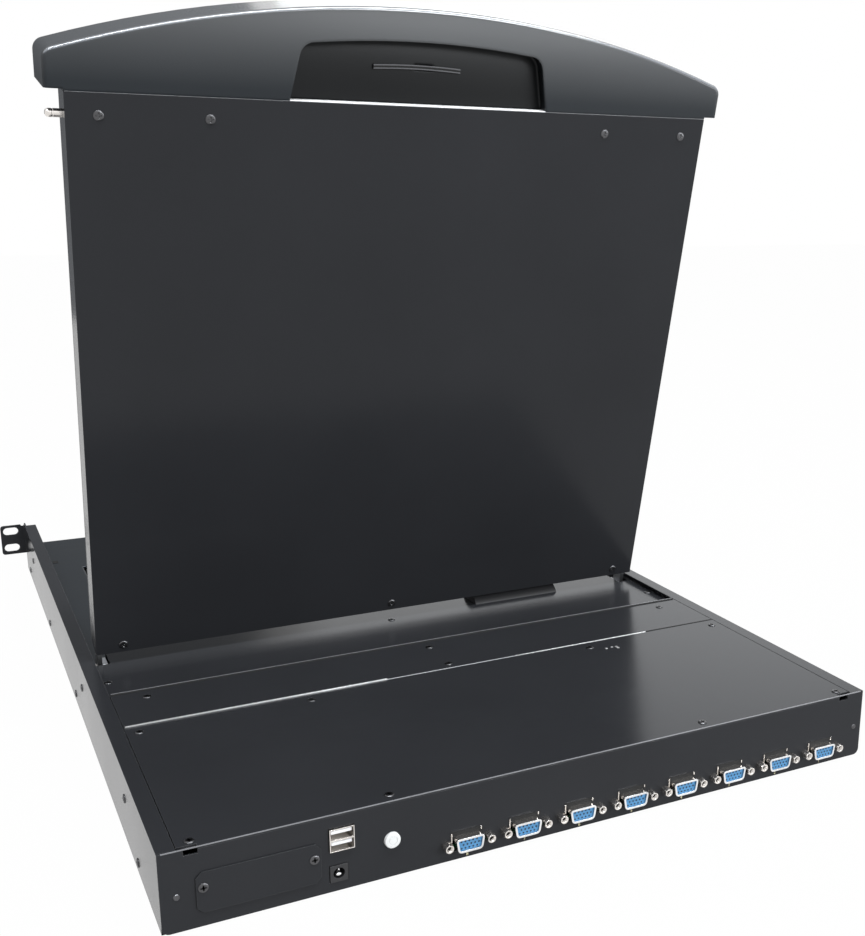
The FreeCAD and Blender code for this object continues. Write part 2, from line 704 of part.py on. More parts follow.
def port_middles():
    return [vga_first_x - vga_pitch * step for step in range(vga_count)]


def rear_panel():
    """Rear panel with its port windows and its top edge folded forward."""
    body = new_body("rear_panel")
    face = sketch(body, "XZ_Plane", -rear_y)
    step_in = flange_edge - cover_notch
    relief = step_in + relief_width
    low = under_cover - relief_drop
    outline(face, [(-half_width, 0), (half_width, 0), (half_width, body_height),
                   (relief, body_height), (relief, low), (step_in, low),
                   (step_in, under_cover), (-step_in, under_cover), (-step_in, low),
                   (-relief, low), (-relief, body_height), (-half_width, body_height)])
    pad(body, face, steel)
    lip = sketch(body, "XY_Plane", under_cover)
    reach = cover_half - steel - play
    outline(lip, [(-reach, rear_y - pan_upstand), (reach, rear_y - pan_upstand),
                  (reach, rear_y - notch_depth), (step_in, rear_y - notch_depth),
                  (step_in, rear_y), (-step_in, rear_y),
                  (-step_in, rear_y - notch_depth), (-reach, rear_y - notch_depth)])
    pad(body, lip, steel, backwards=True)
    lower = float(body_height) / 2
    round_edges(body, rear_corner, lambda edge: runs_along(edge, Vector(0, 1, 0))
                and abs(abs(edge.CenterOfMass.x) - float(half_width)) < 0.01
                and edge.CenterOfMass.z < lower)
    windows = sketch(body, "XZ_Plane")
    for middle in port_middles():
        reach = vga_wide / 2 + vga_window
        rise = vga_tall / 2 + vga_window
        rectangle(windows, (middle - reach, middle + reach), (vga_z - rise, vga_z + rise))
        for side in (-1, 1):
            circle(windows, middle + jack_spacing / 2 * side, vga_z, jack_post + play)
    rectangle(windows, (usb_x - usb_wide / 2 - play, usb_x + usb_wide / 2 + play),
              (usb_z - usb_tall / 2 - play, usb_z + usb_tall / 2 + play))
    rectangle(windows, (power_x - power_wide / 2 - play, power_x + power_wide / 2 + play),
              (power_z - power_tall / 2 - play, power_z + power_tall / 2 + play))
    circle(windows, button_x, button_z, button_radius + play)
    rectangle(windows, (blank_x - blank_wide / 2 + blank_window * 2,
                        blank_x + blank_wide / 2 - blank_window * 2),
              (blank_z - blank_tall / 2 + blank_window, blank_z + blank_tall / 2 - blank_window))
    for side in (-1, 1):
        circle(windows, blank_x + blank_screw * side, blank_z + blank_screw_rise, screw_hole)
    pocket(body, windows, rear_y + play)
    drill(body, "XY_Plane", cover_rear_screws(), screw_hole)
    return body


def cover_rear_screws():
    row = rear_y - cover_screw_inset
    return both_sides([(cover_screw_x, row), (cover_screw_mid, row)])


def cover_front_screws():
    row = cover_front + cover_screw_front
    return both_sides([(cover_screw_x, row), (cover_screw_mid, row)])


def tongue_screw():
    return [(0, strip_rear - tongue_reach / 2)]


def strip_screws():
    row = strip_front + strip_screw_inset
    return both_sides([(strip_screw_x, row)]) + [(0, row)]


def rear_cover():
    """Cover over the rear compartment, with a joggled tongue at its front."""
    body = new_body("rear_cover")
    plate = sketch(body, "XY_Plane", under_cover)
    step_in = flange_edge - cover_notch
    corner = rear_y - notch_depth
    outline(plate, [(-cover_half, cover_front), (cover_half, cover_front),
                    (cover_half, corner), (step_in, corner), (step_in, rear_y),
                    (-step_in, rear_y), (-step_in, corner), (-cover_half, corner)])
    pad(body, plate, steel)
    tongue = sketch(body, "XY_Plane", under_cover - steel)
    rectangle(tongue, (-tongue_width / 2, tongue_width / 2),
              (strip_rear - tongue_reach, cover_front + tongue_reach))
    pad(body, tongue, steel)
    edges = sketch(body, "XY_Plane", under_cover)
    start = cover_front + beam_foot + steel * 2
    for side in (-1, 1):
        rectangle(edges, (cover_half * side, (cover_half - steel) * side), (start, corner))
    pad(body, edges, skirt, backwards=True)
    drill(body, "XY_Plane", cover_rear_screws() + cover_front_screws() + tongue_screw(),
          screw_hole)
    return body


def cover_strip():
    """Fixed strip between the rear cover and the drawer, folded down in front."""
    body = new_body("cover_strip")
    plate = sketch(body, "XY_Plane", under_cover)
    rectangle(plate, (-cover_half, cover_half), (strip_front, strip_rear))
    pad(body, plate, steel)
    edge = sketch(body, "XY_Plane", under_cover)
    rectangle(edge, (-cover_half + skirt, cover_half - skirt), (strip_front, strip_front + steel))
    pad(body, edge, skirt, backwards=True)
    drill(body, "XY_Plane", strip_screws() + tongue_screw(), screw_hole)
    return body


def cross_beam():
    """Folded beam from side to side that carries the strip and the cover."""
    top = under_cover
    front = strip_front + steel * 2
    rear = cover_front + beam_foot
    body = new_body("cross_beam")
    plate = sketch(body, "YZ_Plane", -inside)
    rectangle(plate, (front, rear), (top - steel, top))
    pad(body, plate, inside * 2)
    legs = sketch(body, "YZ_Plane", -flange_edge + steel)
    rectangle(legs, (front, front + steel), (top - beam_height, top - steel / 2))
    rectangle(legs, (rear - steel, rear), (top - beam_height, top - steel / 2))
    pad(body, legs, (flange_edge - steel) * 2)
    recess = sketch(body, "XY_Plane", top)
    rectangle(recess, (-tongue_width / 2 - play, tongue_width / 2 + play),
              (strip_rear - tongue_reach - play, rear + play))
    pocket(body, recess, beam_height + play)
    drill(body, "XY_Plane", strip_screws() + cover_front_screws(), screw_hole)
    return body


def blank_plate():
    """Blanking plate over the module opening, with its corners cut."""
    body = new_body("blank_plate")
    face = sketch(body, "XZ_Plane", -rear_y)
    left = blank_x - blank_wide / 2
    right = blank_x + blank_wide / 2
    low = blank_z - blank_tall / 2
    high = blank_z + blank_tall / 2
    outline(face, [(left + blank_corner, low), (right - blank_corner, low),
                   (right, low + blank_corner), (right, high - blank_corner),
                   (right - blank_corner, high), (left + blank_corner, high),
                   (left, high - blank_corner), (left, low + blank_corner)])
    pad(body, face, blank_thick, backwards=True)
    holes = sketch(body, "XZ_Plane")
    for side in (-1, 1):
        circle(holes, blank_x + blank_screw * side, blank_z + blank_screw_rise, screw_hole)
    pocket(body, holes, rear_y + blank_thick + play)
    return body


def chassis_screws():
    """The pan-head screws of the covers, the blanking plate and the sides."""
    flat = cover_rear_screws() + cover_front_screws() + tongue_screw() + strip_screws()
    top = [(x, y, body_height) for x, y in flat]
    rear = [(blank_x + blank_screw * side, rear_y + blank_thick, blank_z + blank_screw_rise)
            for side in (-1, 1)]
    right = [(half_width, y, z) for y, z in side_screw_places()]
    left = [(-half_width, y, z) for y, z in side_screw_places()]
    return group(screws(top) + screws(rear, "Y") + screws(right, "X") + screws(left, "-X"))


# ---------------------------------------------------------------- rear ports


def shell_wedge(middle, inset, start, length):
    """Port shell form: a bar with its narrow side down, rounded on its long edges."""
    wide = vga_wide / 2 - inset
    narrow = vga_narrow / 2 - inset
    bar = doc.addObject("Part::Wedge", "wedge")
    bar.Placement = Placement(Vector(), TURNS["-Y"])
    for place, number in (("Xmin", -narrow), ("Xmax", narrow), ("X2min", -wide),
                          ("X2max", wide), ("Ymin", -vga_tall / 2 + inset),
                          ("Ymax", vga_tall / 2 - inset), ("Zmin", 0), ("Z2min", 0),
                          ("Zmax", length), ("Z2max", length)):
        bind(bar, place, number)
    move(bar, (middle, start + length, vga_z))
    bar.recompute()
    radius = float(vga_corner - inset)
    rounded = doc.addObject("Part::Fillet", "wedge_round")
    rounded.Base = bar
    rounded.Edges = [(index + 1, radius, radius) for index, edge in enumerate(bar.Shape.Edges)
                     if runs_along(edge, Vector(0, 1, 0))]
    return rounded


def vga_shells():
    made = []
    for middle in port_middles():
        start = rear_y - steel - vga_standout
        length = vga_standout * 2 + steel
        outer = shell_wedge(middle, 0.0, start, length)
        inner = shell_wedge(middle, vga_wall, start + vga_wall, length)
        made.append(cut(outer, [inner]))
    return group(made)


def vga_inserts():
    """Moulded inserts with their fifteen contact holes in three rows."""
    made = []
    for middle in port_middles():
        start = rear_y - steel - vga_standout + vga_wall
        length = vga_standout * 2 + steel - vga_wall - vga_sink
        made.append(shell_wedge(middle, vga_wall, start, length))
    return group(made)


def jack_screws():
    """Hexagonal jack screws either side of each display port."""
    made = []
    for middle in port_middles():
        for side in (-1, 1):
            across = middle + jack_spacing / 2 * side
            head = prism((across, rear_y, vga_z), jack_radius, port_standout, "Y")
            bore = prism((across, rear_y + port_standout - jack_bore_depth, vga_z), jack_bore,
                         jack_bore_depth + play, "Y", head_sides)
            stud = prism((across, rear_y - screw_length, vga_z), jack_post, screw_length, "Y")
            made.append(fuse([cut(head, [bore]), stud]))
    return group(made)


def data_ports():
    """Steel shell of the two stacked data ports, open at the rear."""
    rear = rear_y + usb_standout
    x_range = (usb_x - usb_wide / 2, usb_x + usb_wide / 2)
    shell = slab(x_range, (rear - usb_depth, rear), (usb_z - usb_tall / 2, usb_z + usb_tall / 2))
    mouths = []
    for side in (-1, 1):
        bounds = sorted((usb_z + usb_wall * side, usb_z + (usb_tall / 2 - usb_wall) * side),
                        key=float)
        mouths.append(slab((x_range[0] + usb_wall, x_range[1] - usb_wall),
                           (rear - usb_depth + usb_wall, rear + play), bounds))
    return cut(shell, mouths)


def data_tongues():
    """Contact tongue of each data port, on the floor of its mouth."""
    rear = rear_y + usb_standout
    made = []
    for side in (-1, 1):
        middle = usb_z + usb_tall / 4 * side
        made.append(slab((usb_x - usb_wide / 2 + usb_wall * 2.5, usb_x + usb_wide / 2 - usb_wall * 2.5),
                         (rear - usb_depth + usb_wall, rear - usb_wall * 2.5),
                         (middle, middle + usb_tongue)))
    return group(made)


def power_jack():
    """Power jack: housing, bore and centre pin."""
    rear = rear_y + vga_wall
    housing = slab((power_x - power_wide / 2, power_x + power_wide / 2),
                   (rear - power_depth, rear),
                   (power_z - power_tall / 2, power_z + power_tall / 2))
    bore = rod((power_x, rear - power_depth + jack_bore_depth, power_z), power_bore,
               power_depth, "Y")
    pin = rod((power_x, rear - power_depth + play, power_z), power_pin,
              power_depth - jack_bore_depth / 2, "Y")
    return fuse([cut(housing, [bore]), pin])


def rear_button():
    """Round push button with a wider collar behind the panel."""
    cap = rod((button_x, rear_y + button_standout - button_length, button_z), button_radius,
              button_length, "Y")
    collar = rod((button_x, inner_rear - play - steel, button_z), button_radius + steel,
                 steel, "Y")
    return fuse([cap, collar])


def switch_board():
    """Circuit board behind the ports, on four pillars, with the button's switch."""
    rear = inner_rear - board_margin
    edge = inside - steel * 4
    low = board_z
    board = slab((-edge, edge), (rear - board_depth, rear), (low, low + board_thick))
    pillars = []
    for x in (-edge + board_margin * 3, 0, edge - board_margin * 3):
        for y in (rear - board_margin * 3, rear - board_depth + board_margin * 3):
            pillars.append(prism((x, y, steel), screw_head, low - steel + board_thick / 2))
    stop = rear_y + button_standout - button_length - button_travel - play
    top = low + board_thick / 2
    switch = slab((button_x - button_radius, button_x + button_radius),
                  (stop - button_length, stop), (top, button_z + button_radius))
    riser = slab((usb_x - usb_wide / 2, usb_x + usb_wide / 2),
                 (rear_y + usb_standout - usb_depth, inner_rear - board_margin),
                 (power_z + power_tall / 2, usb_z - usb_tall / 2))
    return group([fuse([board, switch] + pillars), riser])


# ---------------------------------------------------------------- slides


def channel(name, back, lips, height, start, length):
    """A slide member: a C section with its back at one X and its lips at another."""
    body = new_body(name)
    low = slide_z - height / 2
    high = slide_z + height / 2
    step = slide_wall if float(lips) > float(back) else -slide_wall
    profile = sketch(body, "XZ_Plane", -start)
    outline(profile, [(back, low), (lips, low), (lips, low + slide_wall),
                      (back + step, low + slide_wall), (back + step, high - slide_wall),
                      (lips, high - slide_wall), (lips, high), (back, high)])
    pad(body, profile, length, backwards=True)
    return body


middle_height = slide_height - (slide_wall + ball_room) * 2
inner_height = middle_height - (slide_wall + ball_room) * 2
slide_mid = inside - keeper_reach - play
slide_lips = tray_half + slide_wall + play


def slide_outer():
    body = channel("slide_outer", inside, slide_lips, slide_height, slide_front, outer_length)
    drill(body, "YZ_Plane", slide_screw_places(), screw_hole)
    return body


def slide_middle():
    return channel("slide_middle", slide_mid, slide_lips, middle_height, slide_front,
                   middle_length)


def slide_inner():
    lips = slide_mid - slide_wall - play * 2 - cage_strip
    body = channel("slide_inner", tray_half, lips, inner_height, slide_front, inner_length)
    drill(body, "YZ_Plane", tray_screw_places(), screw_hole)
    return body


def ball_cage(height, tie):
    """Upper and lower roller strips of a slide stage, joined by an upright plate."""
    middle = (slide_mid + slide_lips) / 2
    start = slide_front + cage_start
    span = (start, start + cage_length)
    reach = height / 2 + ball_room / 2
    half = cage_strip / 2
    pieces = [slab((tie, tie + cage_strip), span,
                   (slide_z - reach - half, slide_z + reach + half))]
    for side in (-1, 1):
        level = slide_z + reach * side
        pieces.append(slab((middle - cage_half, tie + cage_strip), span,
                           (level - half, level + half)))
        inset = roller_radius * 3
        spacing = (cage_length - inset * 2) / (roller_count - 1)
        for step in range(roller_count):
            at = (middle - roller_length / 2, start + inset + spacing * step, level)
            pieces.append(prism(at, roller_radius, roller_length, "X", roller_sides))
    return fuse(pieces)


# ---------------------------------------------------------------- drawer


def drawer_tray():
    """Folded tray: floor, side walls with latch notches, front and rear walls."""
    body = new_body("drawer_tray")
    length = tray_rear - front_y
    floor = sketch(body, "XZ_Plane", -front_y)
    wall = tray_half - tray_sheet
    top = tray_low + tray_sheet
    outline(floor, [(-tray_half, tray_low), (tray_half, tray_low), (tray_half, wall_height),
                    (wall, wall_height), (wall, top), (-wall, top), (-wall, wall_height),
                    (-tray_half, wall_height)])
    pad(body, floor, length, backwards=True)
    ends = sketch(body, "XZ_Plane", -front_y)
    rectangle(ends, (-tray_half, tray_half), (tray_low, deck_top - housing_wall))
    pad(body, ends, tray_sheet, backwards=True)
    back = sketch(body, "XZ_Plane", -tray_rear)
    rectangle(back, (-tray_half, tray_half), (tray_low, wall_height))
    pad(body, back, tray_sheet)
    ledge = sketch(body, "XY_Plane", wall_height)
    start = hinge_y + lid_reach
    for side in (-1, 1):
        rectangle(ledge, ((tray_half - ledge_width) * side, tray_half * side),
                  (start, tray_rear))
    pad(body, ledge, tray_sheet, backwards=True)
    step = sketch(body, "YZ_Plane")
    rectangle(step, (front_y - play, front_y + front_step), (deck_top, wall_height + play))
    through(body, step)
    notch = sketch(body, "YZ_Plane", wall - play)
    level = hinge_z + (lid_back + lid_front) / 2
    along = hinge_y - lid_reach - latch_u
    reach = latch_radius + latch_hole
    rectangle(notch, (along - reach, along + reach), (level, wall_height + play))
    pocket(body, notch, tray_sheet + play * 2, backwards=True)
    seat = sketch(body, "YZ_Plane", wall - play)
    circle(seat, along, level, reach)
    pocket(body, seat, tray_sheet + play * 2, backwards=True)
    drill(body, "YZ_Plane", tray_screw_places(), screw_hole)
    holes = sketch(body, "XY_Plane", wall_height + play)
    for across, place in both_sides([deck_screw_sides()]):
        circle(holes, across, place, screw_hole)
    pocket(body, holes, tray_sheet + play * 2)
    return body


def tray_screw_places():
    """Screws that hold the tray to the slide members, behind the hinge."""
    return [(hinge_y + lid_reach + tray_screw_step * step, slide_z) for step in (1, 3)]


def deck_screw_sides():
    return (deck_screw_x, hinge_y + deck_screw_y)


def deck():
    """Plate behind the screen, notched for the hinge arms, with its front folded down."""
    body = new_body("deck")
    plate = sketch(body, "XY_Plane", wall_height)
    front = hinge_y - deck_front
    notch = notch_x
    rear = hinge_y + deck_front
    outline(plate, [(-notch, front), (notch, front), (notch, rear), (tray_half, rear),
                    (tray_half, tray_rear), (-tray_half, tray_rear), (-tray_half, rear),
                    (-notch, rear)])
    pad(body, plate, deck_sheet)
    edge = sketch(body, "XY_Plane", wall_height)
    rectangle(edge, (-notch, notch), (front, front + deck_sheet))
    pad(body, edge, skirt, backwards=True)
    places = both_sides([deck_screw_sides()]) + [(0, hinge_y + deck_screw_mid)]
    drill(body, "XY_Plane", places, screw_hole)
    return body


def cable_cover():
    """Half-round cover over the cable between the deck and the screen."""
    start = hatch_x - hatch_width / 2
    outer = rod((start, hinge_y, hinge_z), hatch_radius, hatch_width, "X")
    inner = rod((start + hatch_wall, hinge_y, hinge_z), hatch_radius - hatch_wall,
                hatch_width - hatch_wall * 2, "X")
    reach = hatch_radius + play
    under = slab((start - play, start + hatch_width + play), (hinge_y - reach, hinge_y + reach),
                 (hinge_z - reach, deck_level))
    return cut(outer, [inner, under])


def hinge_brackets():
    """Right-angled brackets on the tray floor that carry the hinge pins."""
    made = []
    floor = tray_low + tray_sheet
    plate = arm_inner - play
    for side in (-1, 1):
        body = new_body("hinge_bracket")
        shape = sketch(body, "YZ_Plane", plate * side)
        half = bracket_length / 2
        outline(shape, [(hinge_y - half, floor), (hinge_y + half, floor),
                        (hinge_y + lug_radius, hinge_z + lug_radius - play),
                        (hinge_y - lug_radius, hinge_z + lug_radius - play)])
        pad(body, shape, bracket_thick, backwards=side > 0)
        foot = sketch(body, "XY_Plane", floor)
        rectangle(foot, ((plate - bracket_foot) * side, plate * side),
                  (hinge_y - half, hinge_y + half))
        pad(body, foot, bracket_thick * 2 / 3)
        drill(body, "YZ_Plane", [(hinge_y, hinge_z)], pin_radius)
        made.append(body)
    return group(made)


def hinge_pins():
    """Hinge pins, each with a head outside the hinge arm."""
    made = []
    length = arm_thick + bracket_thick + play * 2
    start = arm_inner - play - bracket_thick
    for side, along in ((1, "X"), (-1, "-X")):
        pin = rod((start * side, hinge_y, hinge_z), pin_radius, length, along)
        head = rod(((start + length) * side, hinge_y, hinge_z), pin_radius + play * 4,
                   pin_head, along)
        made.append(fuse([pin, head]))
    return group(made)


def tray_screws():
    """Screws of the deck and of the tray's slide members."""
    flat = both_sides([deck_screw_sides()]) + [(0, hinge_y + deck_screw_mid)]
    wall = tray_half - tray_sheet
    places = tray_screw_places()
    return group(screws([(x, y, deck_level) for x, y in flat])
                 + screws([(wall, y, z) for y, z in places], "-X")
                 + screws([(-wall, y, z) for y, z in places], "X"))


# ---------------------------------------------------------------- keyboard

keys_low = front_y + keys_front
BLOCKS = (15, 4)
ROWS = (
    ((1.25, 1, 1.25, 5.5, 1, 1, 1, 1, 1, 1), (2, 1, 1)),
    ((2.25, 1, 1, 1, 1, 1, 1, 1, 1, 1, 1, 1.75, 1), (1, 1, 1, 1)),
    ((1.75, 1, 1, 1, 1, 1, 1, 1, 1, 1, 1, 1, 2.25), (1, 1, 1, 1)),
    ((1.5, 1, 1, 1, 1, 1, 1, 1, 1, 1, 1, 1, 1, 1.5), (1, 1, 1, 1)),
    ((1,) * (BLOCKS[0] - 2) + (2,), (1, 1, 1, 1)),
    ((1,) * BLOCKS[0], (1, 1, 1, 1)),
)
keys_wide = key_pitch * sum(BLOCKS) + pad_gap


def row_middle(row):
    return keys_low + key_pitch / 2 + key_pitch * row


def key(across, along, width):
    """One key cap with its sides drawn in towards the top, and its stem."""
    cap = doc.addObject("Part::Wedge", "key")
    cap.Placement = Placement(Vector(), TURNS["-Y"])
    half = (key_pitch * width - key_gap) / 2
    deep = (key_pitch - key_gap) / 2
    for place, number in (("Xmin", -half), ("Xmax", half), ("X2min", key_taper - half),
                          ("X2max", half - key_taper), ("Zmin", -deep), ("Zmax", deep),
                          ("Z2min", key_taper - deep), ("Z2max", deep - key_taper),
                          ("Ymin", 0), ("Ymax", key_tall)):
        bind(cap, place, number)
    move(cap, (across, along, key_foot))
    stem = box((across - key_stem / 2, along - key_stem / 2, key_foot - stem_length),
               (key_stem, key_stem, stem_length))
    return fuse([cap, stem])


def key_row(row):
    """All keys of one row, with the number pad's keys."""
    made = []
    along = row_middle(row)
    start = -keys_wide / 2
    for block, widths in zip(BLOCKS, ROWS[row]):
        used = 0
        for width in widths:
            made.append(key(start + key_pitch * (used + width / 2), along, width))
            used += width
        start = start + key_pitch * block + pad_gap
    return group(made)


def keyboard_housing():
    """Moulded top of the drawer, hollow beneath, with wells for keys and pad."""
    body = new_body("keyboard_housing")
    side = tray_half - tray_sheet - play
    rear = hinge_y - housing_rear
    floor = tray_low + tray_sheet
    front = front_y + tray_sheet + play
    block = sketch(body, "XY_Plane", floor)
    rectangle(block, (-side, side), (front, rear))
    pad(body, block, deck_top - floor)
    brow = sketch(body, "XY_Plane", deck_top - housing_wall)
    rectangle(brow, (-side, side), (front_y, front + housing_wall))
    pad(body, brow, housing_wall)
    hollow = sketch(body, "XY_Plane", floor)
    rectangle(hollow, (housing_wall - side, side - housing_wall),
              (front + housing_wall, rear - housing_wall))
    pocket(body, hollow, deck_top - housing_wall - floor, backwards=True)
    wells = sketch(body, "XY_Plane", floor)
    reach = keys_wide / 2 + well_margin
    rectangle(wells, (-reach, reach),
              (keys_low - well_margin, keys_low + key_pitch * len(ROWS) + well_margin))
    rectangle(wells, (-touch_width / 2 - play, touch_width / 2 + play),
              (touch_low - play, touch_low + touch_depth + play))
    for step in (-1, 1):
        rectangle(wells, click_span(step, play), (click_low - play, click_low + click_depth + play))
    pocket(body, wells, deck_top - floor + play, backwards=True)
    return body


touch_low = front_y + touch_front
click_low = touch_low - click_gap - click_depth


def click_span(side, margin):
    """Left and right edge of a touch pad button."""
    near = click_gap / 2 - margin
    far = touch_width / 2 + margin
    return (near, far) if side > 0 else (-far, -near)


def touch_pad():
    """Touch pad, raised into its well from a flange under the housing."""
    under = deck_top - housing_wall
    raised = slab((-touch_width / 2, touch_width / 2), (touch_low, touch_low + touch_depth),
                  (under - plate_thick, deck_top - touch_sink))
    flange = slab((-touch_width / 2 - pad_flange, touch_width / 2 + pad_flange),
                  (touch_low, touch_low + touch_depth + pad_flange), (under - plate_thick, under))
    return fuse([raised, flange])


def click_button(side):
    """Touch pad button with a catch along its front, under the housing."""
    span = click_span(side, 0.0)
    under = deck_top - housing_wall
    cap = slab(span, (click_low, click_low + click_depth), (deck_top - click_tall, deck_top))
    catch = slab(span, (click_low - pad_flange, click_low + steel),
                 (deck_top - click_tall, under - play))
    return fuse([cap, catch])


def key_plate():
    """Plate that guides the key stems in slots and stands on the tray floor."""
    top = key_foot - key_travel - play
    low = top - plate_thick
    floor = tray_low + tray_sheet
    reach = keys_wide / 2 + well_margin
    plate = slab((-reach, reach),
                 (keys_low - well_margin, keys_low + key_pitch * len(ROWS) + well_margin),
                 (low, top))
    slots = []
    half = key_stem / 2 + play
    for row in range(len(ROWS)):
        middle = row_middle(row)
        slots.append(slab((-keys_wide / 2 + well_margin * 3, keys_wide / 2 - well_margin * 3),
                          (middle - half, middle + half), (low - play, top + play)))
    posts = []
    for x in (-reach + post_radius, 0, reach - post_radius):
        for y in (keys_low + key_pitch, keys_low + key_pitch * 3, keys_low + key_pitch * 5):
            posts.append(prism((x, y, floor), post_radius, low + plate_thick / 2 - floor))
    return fuse([cut(plate, slots)] + posts)


# ---------------------------------------------------------------- screen
# The screen's pieces are drawn closed, measured from the hinge line: -Y runs
# from the hinge to the handle and +Z is the screen's back.


def raise_lid(thing):
    """Put a piece drawn closed on the hinge line and swing it up."""
    thing.Placement = Placement(Vector(), Rotation(Vector(-1, 0, 0), 90))
    thing.setExpression("Placement.Rotation.Angle", (90 + tilt).formula)
    return move(thing, (0, hinge_y, hinge_z))


def lid_node(label, thing):
    return node(label, raise_lid(thing))


frame_back = lid_front + frame_thick
view_mid = lid_reach + lid_length / 2 + view_shift
latch_y = -(lid_reach + latch_u)
latch_z = (lid_back + lid_front) / 2


def lid_screw_places():
    low = -(lid_reach + lid_screw_low)
    top = -(lid_end - lid_screw_top)
    return both_sides([(lid_screw_x, top), (lid_screw_mid, top), (lid_screw_x, low)]) + [(0, low)]


def lid_back_cover():
    """Folded back of the screen: plate, two sides and two end walls."""
    body = new_body("lid_back_cover")
    profile = sketch(body, "XZ_Plane", lid_reach)
    wall = lid_half - steel
    under = lid_back - steel
    outline(profile, [(-lid_half, frame_back), (-wall, frame_back), (-wall, under),
                      (wall, under), (wall, frame_back), (lid_half, frame_back),
                      (lid_half, lid_back), (-lid_half, lid_back)])
    pad(body, profile, lid_length)
    for distance, backwards in ((lid_reach, False), (lid_end, True)):
        end = sketch(body, "XZ_Plane", distance)
        rectangle(end, (-lid_half, lid_half), (frame_back, lid_back))
        pad(body, end, steel, backwards)
    slots = sketch(body, "XZ_Plane")
    reach = arm_inner + arm_thick + play / 2
    rise = arm_half + play
    for side in (-1, 1):
        rectangle(slots, ((arm_inner - play) * side, reach * side), (-rise, rise))
    pocket(body, slots, lid_reach + steel * 2, backwards=True)
    gate = sketch(body, "XZ_Plane", lid_end - steel * 2)
    rectangle(gate, (rod_end - latch_travel - play * 2, rod_end + rod_width + play * 2),
              (latch_z - rod_thick, latch_z + rod_thick))
    pocket(body, gate, steel * 3, backwards=True)
    hole = sketch(body, "YZ_Plane", lid_half - steel * 2)
    circle(hole, latch_y, latch_z, latch_radius + play)
    pocket(body, hole, steel * 3, backwards=True)
    drill(body, "XY_Plane", lid_screw_places(), screw_hole)
    return body


def lid_front_frame():
    """Frame round the display, with holes for the screen buttons."""
    body = new_body("lid_front_frame")
    face = sketch(body, "XY_Plane", lid_front)
    rectangle(face, (-lid_half, lid_half), (-lid_end, -lid_reach))
    half_wide = view_width / 2 + view_lap
    half_high = view_height / 2 + view_lap
    rectangle(face, (-half_wide, half_wide), (-view_mid - half_high, half_high - view_mid))
    pad(body, face, frame_thick)
    slots = sketch(body, "XY_Plane")
    for step in range(osd_count):
        circle(slots, osd_x + osd_pitch * step, -(lid_reach + osd_inset), osd_radius + play)
    through(body, slots)
    return body


def display_layer(low, thick):
    """One flat layer of the display module."""
    layer = slab((-panel_width / 2, panel_width / 2),
                 (-view_mid - panel_height / 2, panel_height / 2 - view_mid),
                 (low, low + thick))
    return group([layer])


def lcd_board():
    """Display board hung on pillars from the screen's back."""
    under = lid_back - steel
    low = frame_back + glass_thick + panel_thick + play * 5
    half_wide = scaler_width / 2
    half_deep = scaler_depth / 2
    board = slab((-half_wide, half_wide), (-view_mid - half_deep, half_deep - view_mid),
                 (low, low + board_thick))
    pillars = []
    for x in (board_margin - half_wide, half_wide - board_margin):
        for y in (board_margin - half_deep, half_deep - board_margin):
            pillars.append(prism((x, y - view_mid, low), screw_head, under - low))
    return fuse([board] + pillars)


def osd_board():
    """Narrow board with a switch behind each screen button."""
    along = -(lid_reach + osd_inset)
    low = frame_back + steel * 2 + play
    first = osd_x - osd_pitch
    last = osd_x + osd_pitch * osd_count
    half = osd_radius + board_margin
    pieces = [slab((first, last), (along - half, along + half), (low, low + board_thick))]
    for step in range(osd_count):
        pieces.append(prism((osd_x + osd_pitch * step, along, low - play * 2), screw_shank,
                            board_thick))
    for x in (first + screw_head, last - screw_head):
        pieces.append(prism((x, along, frame_back), screw_shank, low - frame_back + play))
    return fuse(pieces)


def osd_button(step):
    """Round screen button with a collar behind the frame."""
    at = (osd_x + osd_pitch * step, -(lid_reach + osd_inset), lid_front - osd_rise)
    cap = rod(at, osd_radius, osd_rise + frame_thick + play + steel)
    collar = rod((at[0], at[1], frame_back + play), osd_radius + steel, steel)
    return fuse([cap, collar])


def hinge_arms():
    """Arms from the hinge pins into the screen, each with a foot on its back."""
    made = []
    for side in (-1, 1):
        body = new_body("hinge_arm")
        lug = sketch(body, "YZ_Plane", arm_inner * side)
        circle(lug, 0, 0, lug_radius)
        pad(body, lug, arm_thick, backwards=side < 0)
        arm = sketch(body, "YZ_Plane", arm_inner * side)
        rectangle(arm, (-(lid_reach + arm_grip), 0), (-arm_half, arm_half))
        pad(body, arm, arm_thick, backwards=side < 0)
        rib = sketch(body, "YZ_Plane", arm_inner * side)
        start = -(lid_reach + steel + play)
        under = lid_back - steel
        rectangle(rib, (-(lid_reach + arm_grip), start), (0, under))
        pad(body, rib, arm_thick, backwards=side < 0)
        foot = sketch(body, "XY_Plane", under)
        rectangle(foot, ((arm_inner - bracket_foot) * side, (arm_inner + arm_thick / 2) * side),
                  (-(lid_reach + arm_grip), start - screw_head * 4))
        pad(body, foot, arm_thick / 2, backwards=True)
        drill(body, "YZ_Plane", [(0, 0)], pin_radius + pin_fit)
        made.append(body)
    return group(made)


def lid_screws():
    """Screws of the screen's back."""
    return group(screws([(x, y, lid_back) for x, y in lid_screw_places()], "Z", lid_screw_head))


# ---------------------------------------------------------------- handle


